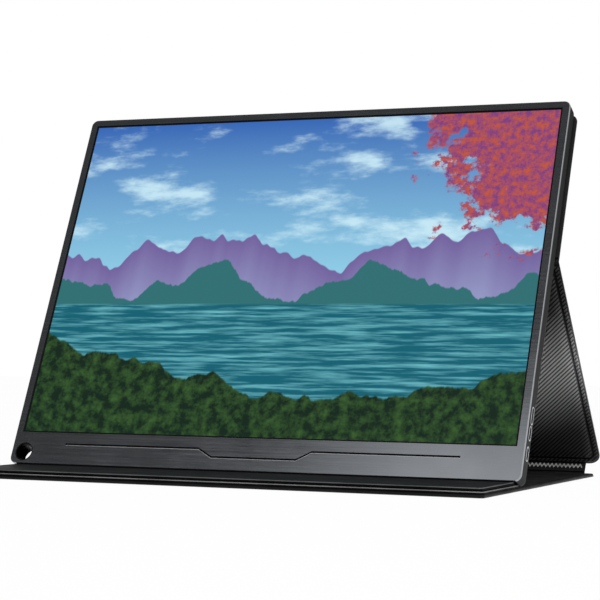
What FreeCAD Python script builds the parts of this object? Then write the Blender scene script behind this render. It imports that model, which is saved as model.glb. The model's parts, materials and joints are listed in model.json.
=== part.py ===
"""Portable monitor standing on its folded folio cover. All sizes are in millimetres.

Row frame: +X is the viewer's right, +Y points to the back, +Z is up, and the origin is the
middle of the base panel's underside. The monitor is modelled in its own frame: x to the
right, y up along the screen from its lower edge, and z out of the screen, with the front
face at z = 0. Each folio panel has a frame of the same kind: y runs along the panel from
its first fold, and z points from the outer skin to the lining.
"""
import FreeCAD
import Part
import Sketcher
import os
import re
from math import cos, radians, sin, tan

driving_sizes = {
    # monitor body
    "body_width": 398.4,
    "body_height": 297.7,
    "body_depth": 15.8,
    "body_corner": 5.0,
    "back_round": 4.8,
    "edge_chamfer": 0.45,
    "side_bezel": 5.5,
    "top_bezel": 5.5,
    "chin_height": 25.2,
    "frame_plate": 1.8,
    "shell_wall": 1.6,
    "shell_floor": 1.5,
    "floor_round": 3.0,
    "fit_gap": 0.15,
    # line cut into the chin, with a dip in its middle
    "groove_width": 1.4,
    "groove_depth": 0.8,
    "groove_height": 16.9,
    "groove_from_side": 44.6,
    "dip_top_half": 44.4,
    "dip_foot_half": 33.1,
    "dip_depth": 6.3,
    # snap tabs behind the front frame
    "tab_length": 24.0,
    "tab_thick": 1.2,
    "tab_reach": 3.0,
    "top_tab_from_side": 68.5,
    "chin_tab_from_side": 98.5,
    "side_tab_from_foot": 90.0,
    "side_tab_from_top": 77.0,
    # hole in the lower left corner
    "hole_from_left": 10.5,
    "hole_from_foot": 9.4,
    "hole_radius": 6.5,
    "eyelet_wall": 0.6,
    "eyelet_recess": 1.2,
    "eyelet_boss_wall": 1.0,
    # display stack, front to back
    "glass_recess": 0.8,
    "panel_margin": 1.6,
    "panel_thick": 1.2,
    "films_thick": 0.6,
    "guide_thick": 2.0,
    "tray_wall": 0.5,
    "lamp_height": 2.4,
    "lamp_thick": 1.6,
    # boards, their posts and screws
    "post_height": 3.6,
    "post_half": 2.4,
    "board_thick": 1.2,
    "board_edge_gap": 0.8,
    "board_width": 86.0,
    "board_foot": 10.0,
    "board_height": 58.0,
    "post_inset": 5.0,
    "socket_post_inset": 11.0,
    "screw_radius": 1.0,
    "screw_head_radius": 1.9,
    "screw_head_height": 1.2,
    "driver_from_side": 48.5,
    "driver_foot": 4.5,
    "driver_height": 13.0,
    "tape_thick": 0.15,
    "cable_width": 24.0,
    "cable_from_board_end": 12.0,
    "cable_thick": 0.3,
    "cable_tail": 7.0,
    # sockets in the right wall
    "socket_recess": 0.5,
    "socket_depth": 7.4,
    "socket_height": 3.2,
    "socket_skin": 0.3,
    "tongue_thick": 0.7,
    "tongue_reach": 5.2,
    "hdmi_length": 11.2,
    "hdmi_place": 50.7,
    "usb_length": 8.9,
    "upper_usb_place": 37.7,
    "lower_usb_place": 22.7,
    "port_gap": 0.5,
    "port_rim": 0.4,
    "port_rim_depth": 0.4,
    # keys and audio socket in the left wall
    "key_board_gap": 1.9,
    "key_board_width": 13.0,
    "key_board_foot": 33.0,
    "key_board_height": 51.0,
    "key_ledge": 4.0,
    "key_height": 2.6,
    "key_proud": 0.6,
    "key_gap": 0.25,
    "power_place": 44.0,
    "power_length": 9.0,
    "power_travel": 0.5,
    "flange_thick": 1.0,
    "flange_rim": 0.5,
    "plunger_radius": 1.0,
    "rocker_place": 64.0,
    "rocker_length": 16.0,
    "rocker_end_gap": 0.6,
    "rocker_cap_thick": 2.3,
    "rocker_arm_half": 7.0,
    "rocker_arm_thick": 1.6,
    "rocker_hub_half": 1.9,
    "rocker_pin_radius": 0.8,
    "rocker_pin_depth": 4.0,
    "pin_boss_half": 1.8,
    "pin_hole_half": 1.4,
    "pin_gap": 0.06,
    "switch_depth": 3.4,
    "switch_width": 3.6,
    "switch_height": 3.0,
    "switch_pitch": 10.5,
    "jack_place": 24.0,
    "jack_width": 6.4,
    "jack_height": 4.8,
    "jack_length": 12.0,
    "jack_bore": 1.8,
    "jack_bore_depth": 12.4,
    "jack_nose": 2.2,
    "jack_rest": 3.1,
    "jack_rest_half": 1.6,
    # speakers and their slots
    "speaker_board_gap": 4.1,
    "speaker_length": 52.0,
    "speaker_foot": 5.0,
    "speaker_width": 12.5,
    "speaker_thick": 4.4,
    "speaker_cone_depth": 1.0,
    "speaker_rim": 2.0,
    "slot_length": 8.0,
    "slot_width": 1.4,
    "slot_pitch": 3.2,
    "slot_count": 14,
    # four threaded inserts in the back
    "mount_place": 95.0,
    "mount_pitch": 75.0,
    "mount_hole_radius": 2.1,
    "insert_half": 3.3,
    "insert_length": 5.6,
    "insert_boss_wall": 1.5,
    # magnets in the shell and their plates in the cover
    "magnet_length": 46.0,
    "magnet_width": 9.0,
    "magnet_thick": 1.5,
    "magnet_from_side": 58.5,
    "magnet_above_fold": 25.0,
    "magnet_from_top": 23.0,
    "plate_thick": 0.8,
    # folio cover
    "cover_overhang": 1.1,
    "skin_thick": 0.9,
    "lining_thick": 0.8,
    "fold_inner_radius": 0.5,
    "hem_width": 6.0,
    "top_thick": 3.2,
    "leg_thick": 2.8,
    "spine_thick": 2.5,
    "base_thick": 2.4,
    "top_margin": 2.6,
    "top_corner": 4.5,
    "fold_height": 175.2,
    "fold_corner": 1.2,
    "fold_setback": 1.5,
    "leg_corner": 10.0,
    "foot_setback": 3.2,
    "rear_setback": 1.8,
    "base_corner": 3.0,
    "spine_length": 8.8,
    "spine_inset": 12.5,
    "base_inset": 4.2,
    "front_reach": 71.5,
    "ledge_thick": 1.8,
    "ledge_inset": 0.2,
    "pad_thick": 2.4,
    "pad_inset": 1.8,
    "pad_edge_round": 0.6,
    "rest_gap": 0.15,
    "seat_gap": 0.3,
    # standing pose, in degrees from the table
    "lean_angle": 66.0,
    "leg_angle": 49.7,
    "spine_angle": 60.0,
}

doc = FreeCAD.newDocument("portable_monitor")
sheet = doc.addObject("Spreadsheet::Sheet", "dims")


def fill_sheet(sizes, first_row):
    """Write one named size to each row of the sheet, and give its cell that name."""
    for row, (name, value) in enumerate(sizes.items(), first_row):
        sheet.set(f"A{row}", name)
        sheet.set(f"B{row}", str(value))
        sheet.setAlias(f"B{row}", name)
    doc.recompute()


def along(angle):
    """Unit vector in the side view, this many degrees up from the back direction."""
    return FreeCAD.Vector(0, cos(radians(angle)), sin(radians(angle)))


def square_to(angle):
    """Unit vector in the side view, a quarter turn on from along(angle)."""
    return along(angle + 90)


def solve_stand(size):
    """Close the chain base, spine, leg, top panel and monitor, and return its frames and axes.

    A skin that folds towards its lining bends about an axis just inside it, and one that
    folds the other way about an axis just outside it, so both arcs are round about the axis.
    """
    inner = size["fold_inner_radius"]
    outer = inner + size["skin_thick"]
    spine_turn = size["spine_angle"]
    leg_turn = 180 - size["leg_angle"]
    lean = size["lean_angle"]
    round_drop = size["back_round"] * (1 - sin(radians(lean)))
    depth_drop = (size["body_depth"] - size["back_round"]) * cos(radians(lean))
    foot_height = size["base_thick"] + size["rest_gap"] + round_drop + depth_drop
    foot = FreeCAD.Vector(0, 0, foot_height)

    back_face = size["body_depth"] + size["top_thick"]
    top = foot + along(lean) * size["fold_height"] - square_to(lean) * back_face
    top_axis = top - square_to(lean) * inner
    leg_end = top_axis + square_to(leg_turn) * inner
    rise = (
        outer * (1 - cos(radians(spine_turn)))
        + size["spine_length"] * sin(radians(spine_turn))
        + outer * (cos(radians(spine_turn)) - cos(radians(leg_turn)))
    )
    leg_length = (leg_end.z - rise) / sin(radians(leg_turn))
    leg = leg_end - along(leg_turn) * leg_length
    foot_axis = leg + square_to(leg_turn) * outer
    spine = foot_axis - square_to(spine_turn) * outer - along(spine_turn) * size["spine_length"]
    rear_axis = spine + square_to(spine_turn) * outer

    base_depth = rear_axis.y + size["front_reach"]
    shift = FreeCAD.Vector(0, base_depth / 2 - rear_axis.y, 0)
    points = dict(foot=foot, top=top, leg=leg, spine=spine)
    points.update(top_axis=top_axis, foot_axis=foot_axis, rear_axis=rear_axis)
    points = {name: point + shift for name, point in points.items()}
    turns = dict(monitor=lean, leg=leg_turn, spine=spine_turn)
    return points, turns, leg_length, base_depth


points, turns, leg_length, base_depth = solve_stand(driving_sizes)


def seat_at(level):
    """How far back a layer in front of the monitor may reach at a level under its lower wall."""
    slope = radians(90 - driving_sizes["lean_angle"])
    drop = (points["foot"].z - level) / tan(slope)
    return points["foot"].y + drop - driving_sizes["seat_gap"] / sin(slope)


ledge_top = driving_sizes["base_thick"] + driving_sizes["ledge_thick"]
worked_out_sizes = {
    "leg_length": leg_length,
    "base_half_depth": base_depth / 2,
    "seat_foot": seat_at(driving_sizes["base_thick"]),
    "seat_middle": seat_at(ledge_top),
    "seat_top": seat_at(ledge_top + driving_sizes["pad_thick"]),
}
fill_sheet(driving_sizes, 1)
fill_sheet(worked_out_sizes, len(driving_sizes) + 1)
size_names = set(driving_sizes) | set(worked_out_sizes)

# Levels that several pieces share, as expressions of the sheet's cells
floor_level = "(shell_floor - body_depth)"
board_back = f"({floor_level} + post_height)"
board_front = f"({board_back} + board_thick)"
socket_level = f"({board_front} + socket_height / 2)"
tray_level = "(-frame_plate - panel_thick - films_thick - guide_thick - tray_wall)"
window_half = "(body_width / 2 - side_bezel)"
panel_half = f"({window_half} + panel_margin)"
panel_foot = "(chin_height - panel_margin)"
panel_top = "(body_height - top_bezel + panel_margin)"
tray_foot = f"({panel_foot} - lamp_height - 2 * fit_gap)"
inner_half = "(body_width / 2 - shell_wall)"
hole_x = "(hole_from_left - body_width / 2)"
board_right = f"({inner_half} - board_edge_gap)"
board_left = f"({board_right} - board_width)"
board_top = "(board_foot + board_height)"
key_board_left = f"(-{inner_half} + key_board_gap)"
jack_left = f"(-{inner_half} + board_edge_gap)"
key_board_right = f"({key_board_left} + key_board_width)"
key_level = f"({board_front} + switch_height / 2)"
switch_face = f"(-{inner_half} + fit_gap + flange_thick + rocker_arm_thick + power_travel)"
rocker_pivot = f"(-{inner_half} + rocker_pin_depth)"
jack_level = f"({floor_level} + jack_rest + jack_height / 2)"
cover_half = "(body_width / 2 + cover_overhang)"
spine_half = f"({cover_half} - spine_inset)"
base_half = f"({cover_half} - base_inset)"
groove_half = "(body_width / 2 - groove_from_side)"
driver_half = "(body_width / 2 - driver_from_side)"
speaker_offset = f"({board_left} - speaker_board_gap - speaker_length / 2)"
magnet_rows = ("(fold_height + magnet_above_fold)", "(body_height - magnet_from_top)")
sub_parts = []


def cell(expression):
    """Point each size name in an expression at its cell of the sheet."""
    return re.sub(
        r"[a-z][a-z_]+",
        lambda word: "dims." + word[0] if word[0] in size_names else word[0],
        expression,
    )


def number(expression):
    return float(sheet.evalExpression(cell(expression)))


def new_body(label, sub_part=True):
    body = doc.addObject("PartDesign::Body", label)
    body.Label = label
    body.AllowCompound = True
    if sub_part:
        sub_parts.append(body)
    return body


def new_sketch(body, level="0", plane="XY_Plane"):
    """An empty sketch on one of the body's own planes, lifted off it to a level."""
    planes = {feature.Role: feature for feature in body.Origin.OriginFeatures}
    sketch = body.newObject("Sketcher::SketchObject", "sketch")
    sketch.AttachmentSupport = [(planes[plane], "")]
    sketch.MapMode = "FlatFace"
    sketch.setExpression("AttachmentOffset.Base.z", cell(level))
    return sketch


def tie_point(sketch, geometry, vertex, place):
    """Hold one point of a sketch at a place given as two expressions."""
    for kind, expression in zip(("DistanceX", "DistanceY"), place):
        rule = Sketcher.Constraint(kind, -1, 1, geometry, vertex, number(expression))
        index = sketch.addConstraint(rule)
        sketch.setExpression(f"Constraints[{index}]", cell(expression))


def tie_radius(sketch, geometry, radius):
    rule = Sketcher.Constraint("Radius", geometry, number(radius))
    index = sketch.addConstraint(rule)
    sketch.setExpression(f"Constraints[{index}]", cell(radius))


def draw_outline(sketch, corners):
    """A closed outline of straight lines through corners given as pairs of expressions."""
    first = sketch.GeometryCount
    ends = [FreeCAD.Vector(number(x), number(y), 0) for x, y in corners]
    for start, end in zip(ends, ends[1:] + ends[:1]):
        sketch.addGeometry(Part.LineSegment(start, end))
    for index, corner in enumerate(corners):
        following = first + (index + 1) % len(corners)
        sketch.addConstraint(Sketcher.Constraint("Coincident", first + index, 2, following, 1))
        tie_point(sketch, first + index, 1, corner)


def draw_rectangle(sketch, left, right, low, high):
    draw_outline(sketch, [(left, low), (right, low), (right, high), (left, high)])


def draw_circle(sketch, place, radius):
    centre = FreeCAD.Vector(number(place[0]), number(place[1]), 0)
    normal = FreeCAD.Vector(0, 0, 1)
    index = sketch.addGeometry(Part.Circle(centre, normal, number(radius)))
    tie_point(sketch, index, 3, place)
    tie_radius(sketch, index, radius)


def draw_arc_loop(sketch, arcs):
    """A closed loop of arcs joined by tangent lines.

    Each arc has its centre and radius as expressions, and its first and last angle in
    degrees. The arcs run anticlockwise.
    """
    normal = FreeCAD.Vector(0, 0, 1)
    curves = []
    for (x, y), radius, first, last in arcs:
        circle = Part.Circle(FreeCAD.Vector(number(x), number(y), 0), normal, number(radius))
        curve = Part.ArcOfCircle(circle, radians(first), radians(last))
        curves.append((sketch.addGeometry(curve), curve))
    for (this, curve), (following, next_curve) in zip(curves, curves[1:] + curves[:1]):
        line = sketch.addGeometry(Part.LineSegment(curve.EndPoint, next_curve.StartPoint))
        sketch.addConstraint(Sketcher.Constraint("Tangent", this, 2, line, 1))
        sketch.addConstraint(Sketcher.Constraint("Tangent", line, 2, following, 1))
    for (index, _), (centre, radius, _, _) in zip(curves, arcs):
        tie_point(sketch, index, 3, centre)
        tie_radius(sketch, index, radius)


def draw_slot(sketch, place, length, height):
    """A slot with half-round ends, lying along the sketch's first axis."""
    x, y = place
    run = f"(({length}) - ({height})) / 2"
    radius = f"({height}) / 2"
    left, right = (f"{x} - {run}", y), (f"{x} + {run}", y)
    draw_arc_loop(sketch, [(left, radius, 90, 270), (right, radius, -90, 90)])


def draw_rounded_rectangle(sketch, left, right, low, high, low_corner, high_corner):
    """A rectangle with one corner radius at its low end and another at its high end."""
    low_y, high_y = f"({low}) + ({low_corner})", f"({high}) - ({high_corner})"
    draw_arc_loop(sketch, [
        ((f"({left}) + ({low_corner})", low_y), low_corner, 180, 270),
        ((f"({right}) - ({low_corner})", low_y), low_corner, 270, 360),
        ((f"({right}) - ({high_corner})", high_y), high_corner, 0, 90),
        ((f"({left}) + ({high_corner})", high_y), high_corner, 90, 180),
    ])


def add_pad(body, sketch, length, midplane=False):
    pad = body.newObject("PartDesign::Pad", "pad")
    pad.Profile = sketch
    pad.Midplane = midplane
    pad.setExpression("Length", cell(length))
    doc.recompute()
    if "Invalid" in pad.State:
        raise RuntimeError(f"a pad of {body.Label} did not build")


def add_pocket(body, sketch, length, towards_normal=False):
    """Cut a pocket against the sketch's normal, or along it, and see that it took material."""
    before = body.Shape.Volume
    pocket = body.newObject("PartDesign::Pocket", "pocket")
    pocket.Profile = sketch
    pocket.Reversed = towards_normal
    pocket.setExpression("Length", cell(length))
    doc.recompute()
    if body.Shape.Volume >= before:
        raise RuntimeError(f"a pocket in {body.Label} cuts nothing")
    return pocket


def dress_edges(body, kind, amount, wanted):
    """Round or bevel the edges of the body's last feature that a test picks out."""
    tip = body.Tip
    edges = enumerate(tip.Shape.Edges, 1)
    names = [f"Edge{index}" for index, edge in edges if wanted(edge)]
    feature = body.newObject(f"PartDesign::{kind}", kind.lower())
    feature.Base = (tip, names)
    feature.setExpression({"Fillet": "Radius", "Chamfer": "Size"}[kind], cell(amount))
    doc.recompute()
    if "Invalid" in feature.State or not names:
        raise RuntimeError(f"{len(names)} edges of {body.Label} could not be dressed")


def near(value, expression):
    tolerance = 0.001
    return abs(value - number(expression)) < tolerance


def upright_at(low="-1000", high="1000"):
    """Edges along z whose place along y lies between two expressions."""

    def wanted(edge):
        box = edge.BoundBox
        straight = box.XLength < 0.001 and box.YLength < 0.001
        return straight and number(low) <= box.YMin <= number(high)

    return wanted


def at_level(level):
    """Edges that lie in the plane z = level."""
    return lambda edge: near(edge.BoundBox.ZMin, level) and near(edge.BoundBox.ZMax, level)


def make_plate(label, left, right, low, high, back, front, corner=None):
    """A flat plate between two levels, with its corners rounded if asked."""
    body = new_body(label)
    sketch = new_sketch(body, back)
    if corner:
        draw_rounded_rectangle(sketch, left, right, low, high, corner, corner)
    else:
        draw_rectangle(sketch, left, right, low, high)
    add_pad(body, sketch, f"({front}) - ({back})")
    return body


def make_front_frame():
    """Front plate with the screen's window, the chin's line, the corner hole and snap tabs."""
    body = make_plate(
        "front_frame", "-body_width / 2", "body_width / 2", "0", "body_height",
        "-frame_plate", "0", "body_corner",
    )
    dress_edges(body, "Chamfer", "edge_chamfer", at_level("0"))
    window = new_sketch(body)
    draw_rectangle(
        window, f"-{window_half}", window_half, "chin_height", "body_height - top_bezel"
    )
    add_pocket(body, window, "frame_plate")
    hole = new_sketch(body)
    draw_circle(hole, (hole_x, "hole_from_foot"), "hole_radius + eyelet_wall + fit_gap")
    add_pocket(body, hole, "frame_plate")

    line = ("groove_height", "groove_height - dip_depth")
    upper = [
        (f"-{groove_half}", line[0]), ("-dip_top_half", line[0]), ("-dip_foot_half", line[1]),
        ("dip_foot_half", line[1]), ("dip_top_half", line[0]), (groove_half, line[0]),
    ]
    lower = [(x, f"{y} - groove_width") for x, y in reversed(upper)]
    groove = new_sketch(body)
    draw_outline(groove, upper + lower)
    add_pocket(body, groove, "groove_depth")

    tabs = new_sketch(body, "-frame_plate - tab_reach")
    top_edge = "(body_height - shell_wall - fit_gap)"
    foot_edge = "(shell_wall + fit_gap)"
    top_tab = "(body_width / 2 - top_tab_from_side)"
    for shift in (f"-{top_tab}", "0", top_tab):
        draw_rectangle(
            tabs, f"{shift} - tab_length / 2", f"{shift} + tab_length / 2",
            f"{top_edge} - tab_thick", top_edge,
        )
    chin_tab = "(body_width / 2 - chin_tab_from_side)"
    for shift in (f"-{chin_tab}", chin_tab):
        draw_rectangle(
            tabs, f"{shift} - tab_length / 2", f"{shift} + tab_length / 2",
            foot_edge, f"{foot_edge} + tab_thick",
        )
    side_edge = f"({inner_half} - fit_gap)"
    for height in ("side_tab_from_foot", "body_height - side_tab_from_top"):
        low, high = f"{height} - tab_length / 2", f"{height} + tab_length / 2"
        draw_rectangle(tabs, f"{side_edge} - tab_thick", side_edge, low, high)
        draw_rectangle(tabs, f"-{side_edge}", f"-{side_edge} + tab_thick", low, high)
    add_pad(body, tabs, "tab_reach")
    return body


def board_posts():
    """Places of the posts that the main board is screwed to."""
    right = f"({board_right} - socket_post_inset)"
    left = f"({board_left} + post_inset)"
    heights = ("(board_foot + post_inset)", f"({board_top} - post_inset)")
    return [(x, y) for x in (left, right) for y in heights]


def draw_square(sketch, place, half):
    x, y = place
    draw_rectangle(sketch, f"{x} - {half}", f"{x} + {half}", f"{y} - {half}", f"{y} + {half}")


def insert_places():
    return [
        (f"{side} * mount_pitch / 2", f"mount_place + {level} * mount_pitch / 2")
        for side in (-1, 1)
        for level in (-1, 1)
    ]


def ports():
    """Place up the right wall and length of each socket there, by its node's name."""
    return {
        "hdmi_socket": ("hdmi_place", "hdmi_length"),
        "usb_c_socket_upper": ("upper_usb_place", "usb_length"),
        "usb_c_socket_lower": ("lower_usb_place", "usb_length"),
    }


def make_rear_shell():
    """Back cover: a tray with rounded back edges, posts, bosses, ports, key holes and slots."""
    body = make_plate(
        "rear_shell", "-body_width / 2", "body_width / 2", "0", "body_height",
        "-body_depth", "-frame_plate", "body_corner",
    )
    dress_edges(body, "Fillet", "back_round", at_level("-body_depth"))
    inside = new_sketch(body, "-frame_plate")
    draw_rounded_rectangle(
        inside, f"-{inner_half}", inner_half, "shell_wall", "body_height - shell_wall",
        "body_corner - shell_wall", "body_corner - shell_wall",
    )
    add_pocket(body, inside, "body_depth - frame_plate - shell_floor")
    dress_edges(body, "Fillet", "floor_round", at_level(floor_level))

    eyelet_radius = "(hole_radius + eyelet_wall + fit_gap)"
    boss = new_sketch(body, "back_round - body_depth")
    draw_circle(boss, (hole_x, "hole_from_foot"), f"{eyelet_radius} + eyelet_boss_wall")
    add_pad(body, boss, "body_depth - back_round - frame_plate")
    hole = new_sketch(body, "-frame_plate")
    draw_circle(hole, (hole_x, "hole_from_foot"), eyelet_radius)
    add_pocket(body, hole, "body_depth")

    posts = new_sketch(body, floor_level)
    for place in board_posts():
        draw_square(posts, place, "post_half")
    ledge = f"({key_board_right} - key_ledge)"
    for end in ("key_board_foot", "(key_board_foot + key_board_height - key_ledge)"):
        draw_rectangle(posts, ledge, key_board_right, end, f"{end} + key_ledge")
    add_pad(body, posts, "post_height")
    pilots = new_sketch(body, board_back)
    for place in board_posts():
        draw_circle(pilots, place, "screw_radius")
    add_pocket(body, pilots, "post_height")

    rests = new_sketch(body, floor_level)
    draw_square(rests, (rocker_pivot, "rocker_place"), "pin_boss_half")
    draw_rectangle(
        rests, f"{jack_left} + floor_round", f"{jack_left} + jack_length",
        "jack_place - jack_rest_half", "jack_place + jack_rest_half",
    )
    add_pad(body, rests, "jack_rest")
    pin_seat = new_sketch(body, f"{floor_level} + jack_rest")
    draw_circle(pin_seat, (rocker_pivot, "rocker_place"), "rocker_pin_radius")
    add_pocket(body, pin_seat, "jack_rest")

    bosses = new_sketch(body, floor_level)
    for place in insert_places():
        draw_square(bosses, place, "(insert_half + insert_boss_wall)")
    add_pad(body, bosses, "insert_length - shell_floor")
    seats = new_sketch(body, "insert_length - body_depth")
    for place in insert_places():
        draw_square(seats, place, "insert_half")
    add_pocket(body, seats, "insert_length")

    cut_right_wall(body)
    cut_left_wall(body)
    cut_speaker_slots(body)
    return body


def cut_right_wall(body):
    """Port openings with a shallow rim sunk around each."""
    reach = "floor_round"
    openings = new_sketch(body, "body_width / 2", "YZ_Plane")
    rims = new_sketch(body, "body_width / 2", "YZ_Plane")
    for place, length in ports().values():
        grow = "2 * port_gap"
        draw_slot(
            openings, (place, socket_level), f"{length} + {grow}", f"socket_height + {grow}"
        )
        grow = "2 * (port_gap + port_rim)"
        draw_slot(rims, (place, socket_level), f"{length} + {grow}", f"socket_height + {grow}")
    add_pocket(body, openings, f"shell_wall + {reach}")
    add_pocket(body, rims, "port_rim_depth")


def cut_left_wall(body):
    """Openings for the power key, the menu rocker and the audio socket's nose."""
    openings = new_sketch(body, "-body_width / 2", "YZ_Plane")
    draw_slot(
        openings, ("power_place", key_level),
        "power_length + 2 * key_gap", "key_height + 2 * key_gap",
    )
    draw_slot(
        openings, ("rocker_place", key_level),
        "rocker_length + 2 * rocker_end_gap", "key_height + 2 * key_gap",
    )
    draw_circle(openings, ("jack_place", jack_level), "jack_nose + fit_gap")
    add_pocket(body, openings, "shell_wall + floor_round", towards_normal=True)


def cut_speaker_slots(body):
    """A row of sound slots through the back, behind each speaker."""
    run = "slot_pitch * (slot_count - 1)"
    middle = "(speaker_foot + speaker_width / 2)"
    for side in (-1, 1):
        first = new_sketch(body, floor_level)
        x = f"({side} * {speaker_offset} - {run} / 2)"
        draw_rectangle(
            first, f"{x} - slot_width / 2", f"{x} + slot_width / 2",
            f"{middle} - slot_length / 2", f"{middle} + slot_length / 2",
        )
        pocket = add_pocket(body, first, "shell_floor")
        row = body.newObject("PartDesign::LinearPattern", "slot_row")
        row.Originals = [pocket]
        row.Direction = (first, ["H_Axis"])
        row.setExpression("Length", cell(run))
        row.setExpression("Occurrences", cell("slot_count"))
        body.Tip = row
        doc.recompute()


def make_display():
    """Glass, liquid crystal panel, films, light guide, lamp strip and the steel tray."""
    glass_half = f"{window_half} - fit_gap"
    make_plate(
        "screen_glass", f"-({glass_half})", glass_half, "chin_height + fit_gap",
        "body_height - top_bezel - fit_gap", "-frame_plate", "-glass_recess",
    )
    front = "-frame_plate"
    layers = (
        ("lcd_panel", "panel_thick"), ("optical_films", "films_thick"),
        ("light_guide", "guide_thick"),
    )
    for label, thickness in layers:
        back = f"{front} - {thickness}"
        make_plate(label, f"-{panel_half}", panel_half, panel_foot, panel_top, back, front)
        front = back
    lamp_back = f"{tray_level} + tray_wall"
    make_plate(
        "lamp_strip", f"-{panel_half}", panel_half, f"{tray_foot} + fit_gap",
        f"{panel_foot} - fit_gap", lamp_back, f"{lamp_back} + lamp_thick",
    )
    rim = "(fit_gap + tray_wall)"
    tray = make_plate(
        "backlight_tray", f"-{panel_half} - {rim}", f"{panel_half} + {rim}",
        f"{tray_foot} - tray_wall", f"{panel_top} + {rim}", tray_level, "-frame_plate - fit_gap",
    )
    inside = new_sketch(tray, "-frame_plate - fit_gap")
    draw_rectangle(
        inside, f"-{panel_half} - fit_gap", f"{panel_half} + fit_gap",
        tray_foot, f"{panel_top} + fit_gap",
    )
    add_pocket(tray, inside, f"-frame_plate - fit_gap - ({tray_level} + tray_wall)")


def make_boards():
    """Main board, key board, driver board, their screws and the flat cable."""
    main = make_plate(
        "main_board", board_left, board_right, "board_foot", board_top, board_back, board_front
    )
    keys = make_plate(
        "key_board", key_board_left, key_board_right, "key_board_foot",
        "key_board_foot + key_board_height", board_back, board_front,
    )
    holes = new_sketch(main, board_front)
    for place in board_posts():
        draw_circle(holes, place, "screw_radius + fit_gap")
    add_pocket(main, holes, "board_thick")
    pin_hole = new_sketch(keys, board_front)
    draw_square(pin_hole, (rocker_pivot, "rocker_place"), "pin_hole_half")
    add_pocket(keys, pin_hole, "board_thick")

    screws = new_body("board_screws")
    shanks = new_sketch(screws, f"{board_back} - post_height")
    heads = new_sketch(screws, board_front)
    for place in board_posts():
        draw_circle(shanks, place, "screw_radius")
        draw_circle(heads, place, "screw_head_radius")
    add_pad(screws, shanks, "post_height + board_thick")
    add_pad(screws, heads, "screw_head_height")

    driver_front = "-frame_plate - tape_thick"
    driver_back = f"({driver_front} - board_thick)"
    make_plate(
        "driver_board", f"-{driver_half}", driver_half, "driver_foot",
        "driver_foot + driver_height", driver_back, driver_front,
    )
    cable = new_body("panel_cable")
    left = f"({board_left} + cable_from_board_end)"
    profile = new_sketch(cable, left, "YZ_Plane")
    bend = "(driver_foot + driver_height - cable_thick)"
    draw_outline(profile, [
        (f"{bend} - cable_tail", f"{driver_back} - cable_thick"), (bend, f"{driver_back} - cable_thick"),
        (bend, board_front), (f"{bend} + cable_tail", board_front),
        (f"{bend} + cable_tail", f"{board_front} + cable_thick"),
        (f"{bend} + cable_thick", f"{board_front} + cable_thick"),
        (f"{bend} + cable_thick", driver_back), (f"{bend} - cable_tail", driver_back),
    ])
    add_pad(cable, profile, "cable_width")


def make_sockets():
    """Each socket in the right wall: a drawn metal mouth with a tongue inside."""
    mouth = "(body_width / 2 - socket_recess)"
    for label, (place, length) in ports().items():
        body = new_body(label)
        outside = new_sketch(body, f"{mouth} - socket_depth", "YZ_Plane")
        draw_slot(outside, (place, socket_level), length, "socket_height")
        add_pad(body, outside, "socket_depth")
        inside = new_sketch(body, mouth, "YZ_Plane")
        draw_slot(
            inside, (place, socket_level),
            f"{length} - 2 * socket_skin", "socket_height - 2 * socket_skin",
        )
        add_pocket(body, inside, "socket_depth - socket_skin")
        tongue = new_sketch(body, f"{mouth} - socket_depth", "YZ_Plane")
        half = f"({length} - socket_height) / 2"
        draw_rectangle(
            tongue, f"{place} - {half}", f"{place} + {half}",
            f"{socket_level} - tongue_thick / 2", f"{socket_level} + tongue_thick / 2",
        )
        add_pad(body, tongue, "tongue_reach + socket_skin")

    jack = new_body("audio_jack")
    block = new_sketch(jack, jack_left, "YZ_Plane")
    draw_rectangle(
        block, "jack_place - jack_width / 2", "jack_place + jack_width / 2",
        f"{jack_level} - jack_height / 2", f"{jack_level} + jack_height / 2",
    )
    add_pad(jack, block, "jack_length")
    nose = new_sketch(jack, "-body_width / 2 + port_rim_depth", "YZ_Plane")
    draw_circle(nose, ("jack_place", jack_level), "jack_nose")
    add_pad(jack, nose, "shell_wall + board_edge_gap - port_rim_depth")
    bore = new_sketch(jack, "-body_width / 2 + port_rim_depth", "YZ_Plane")
    draw_circle(bore, ("jack_place", jack_level), "jack_bore")
    add_pocket(jack, bore, "jack_bore_depth", towards_normal=True)


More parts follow.
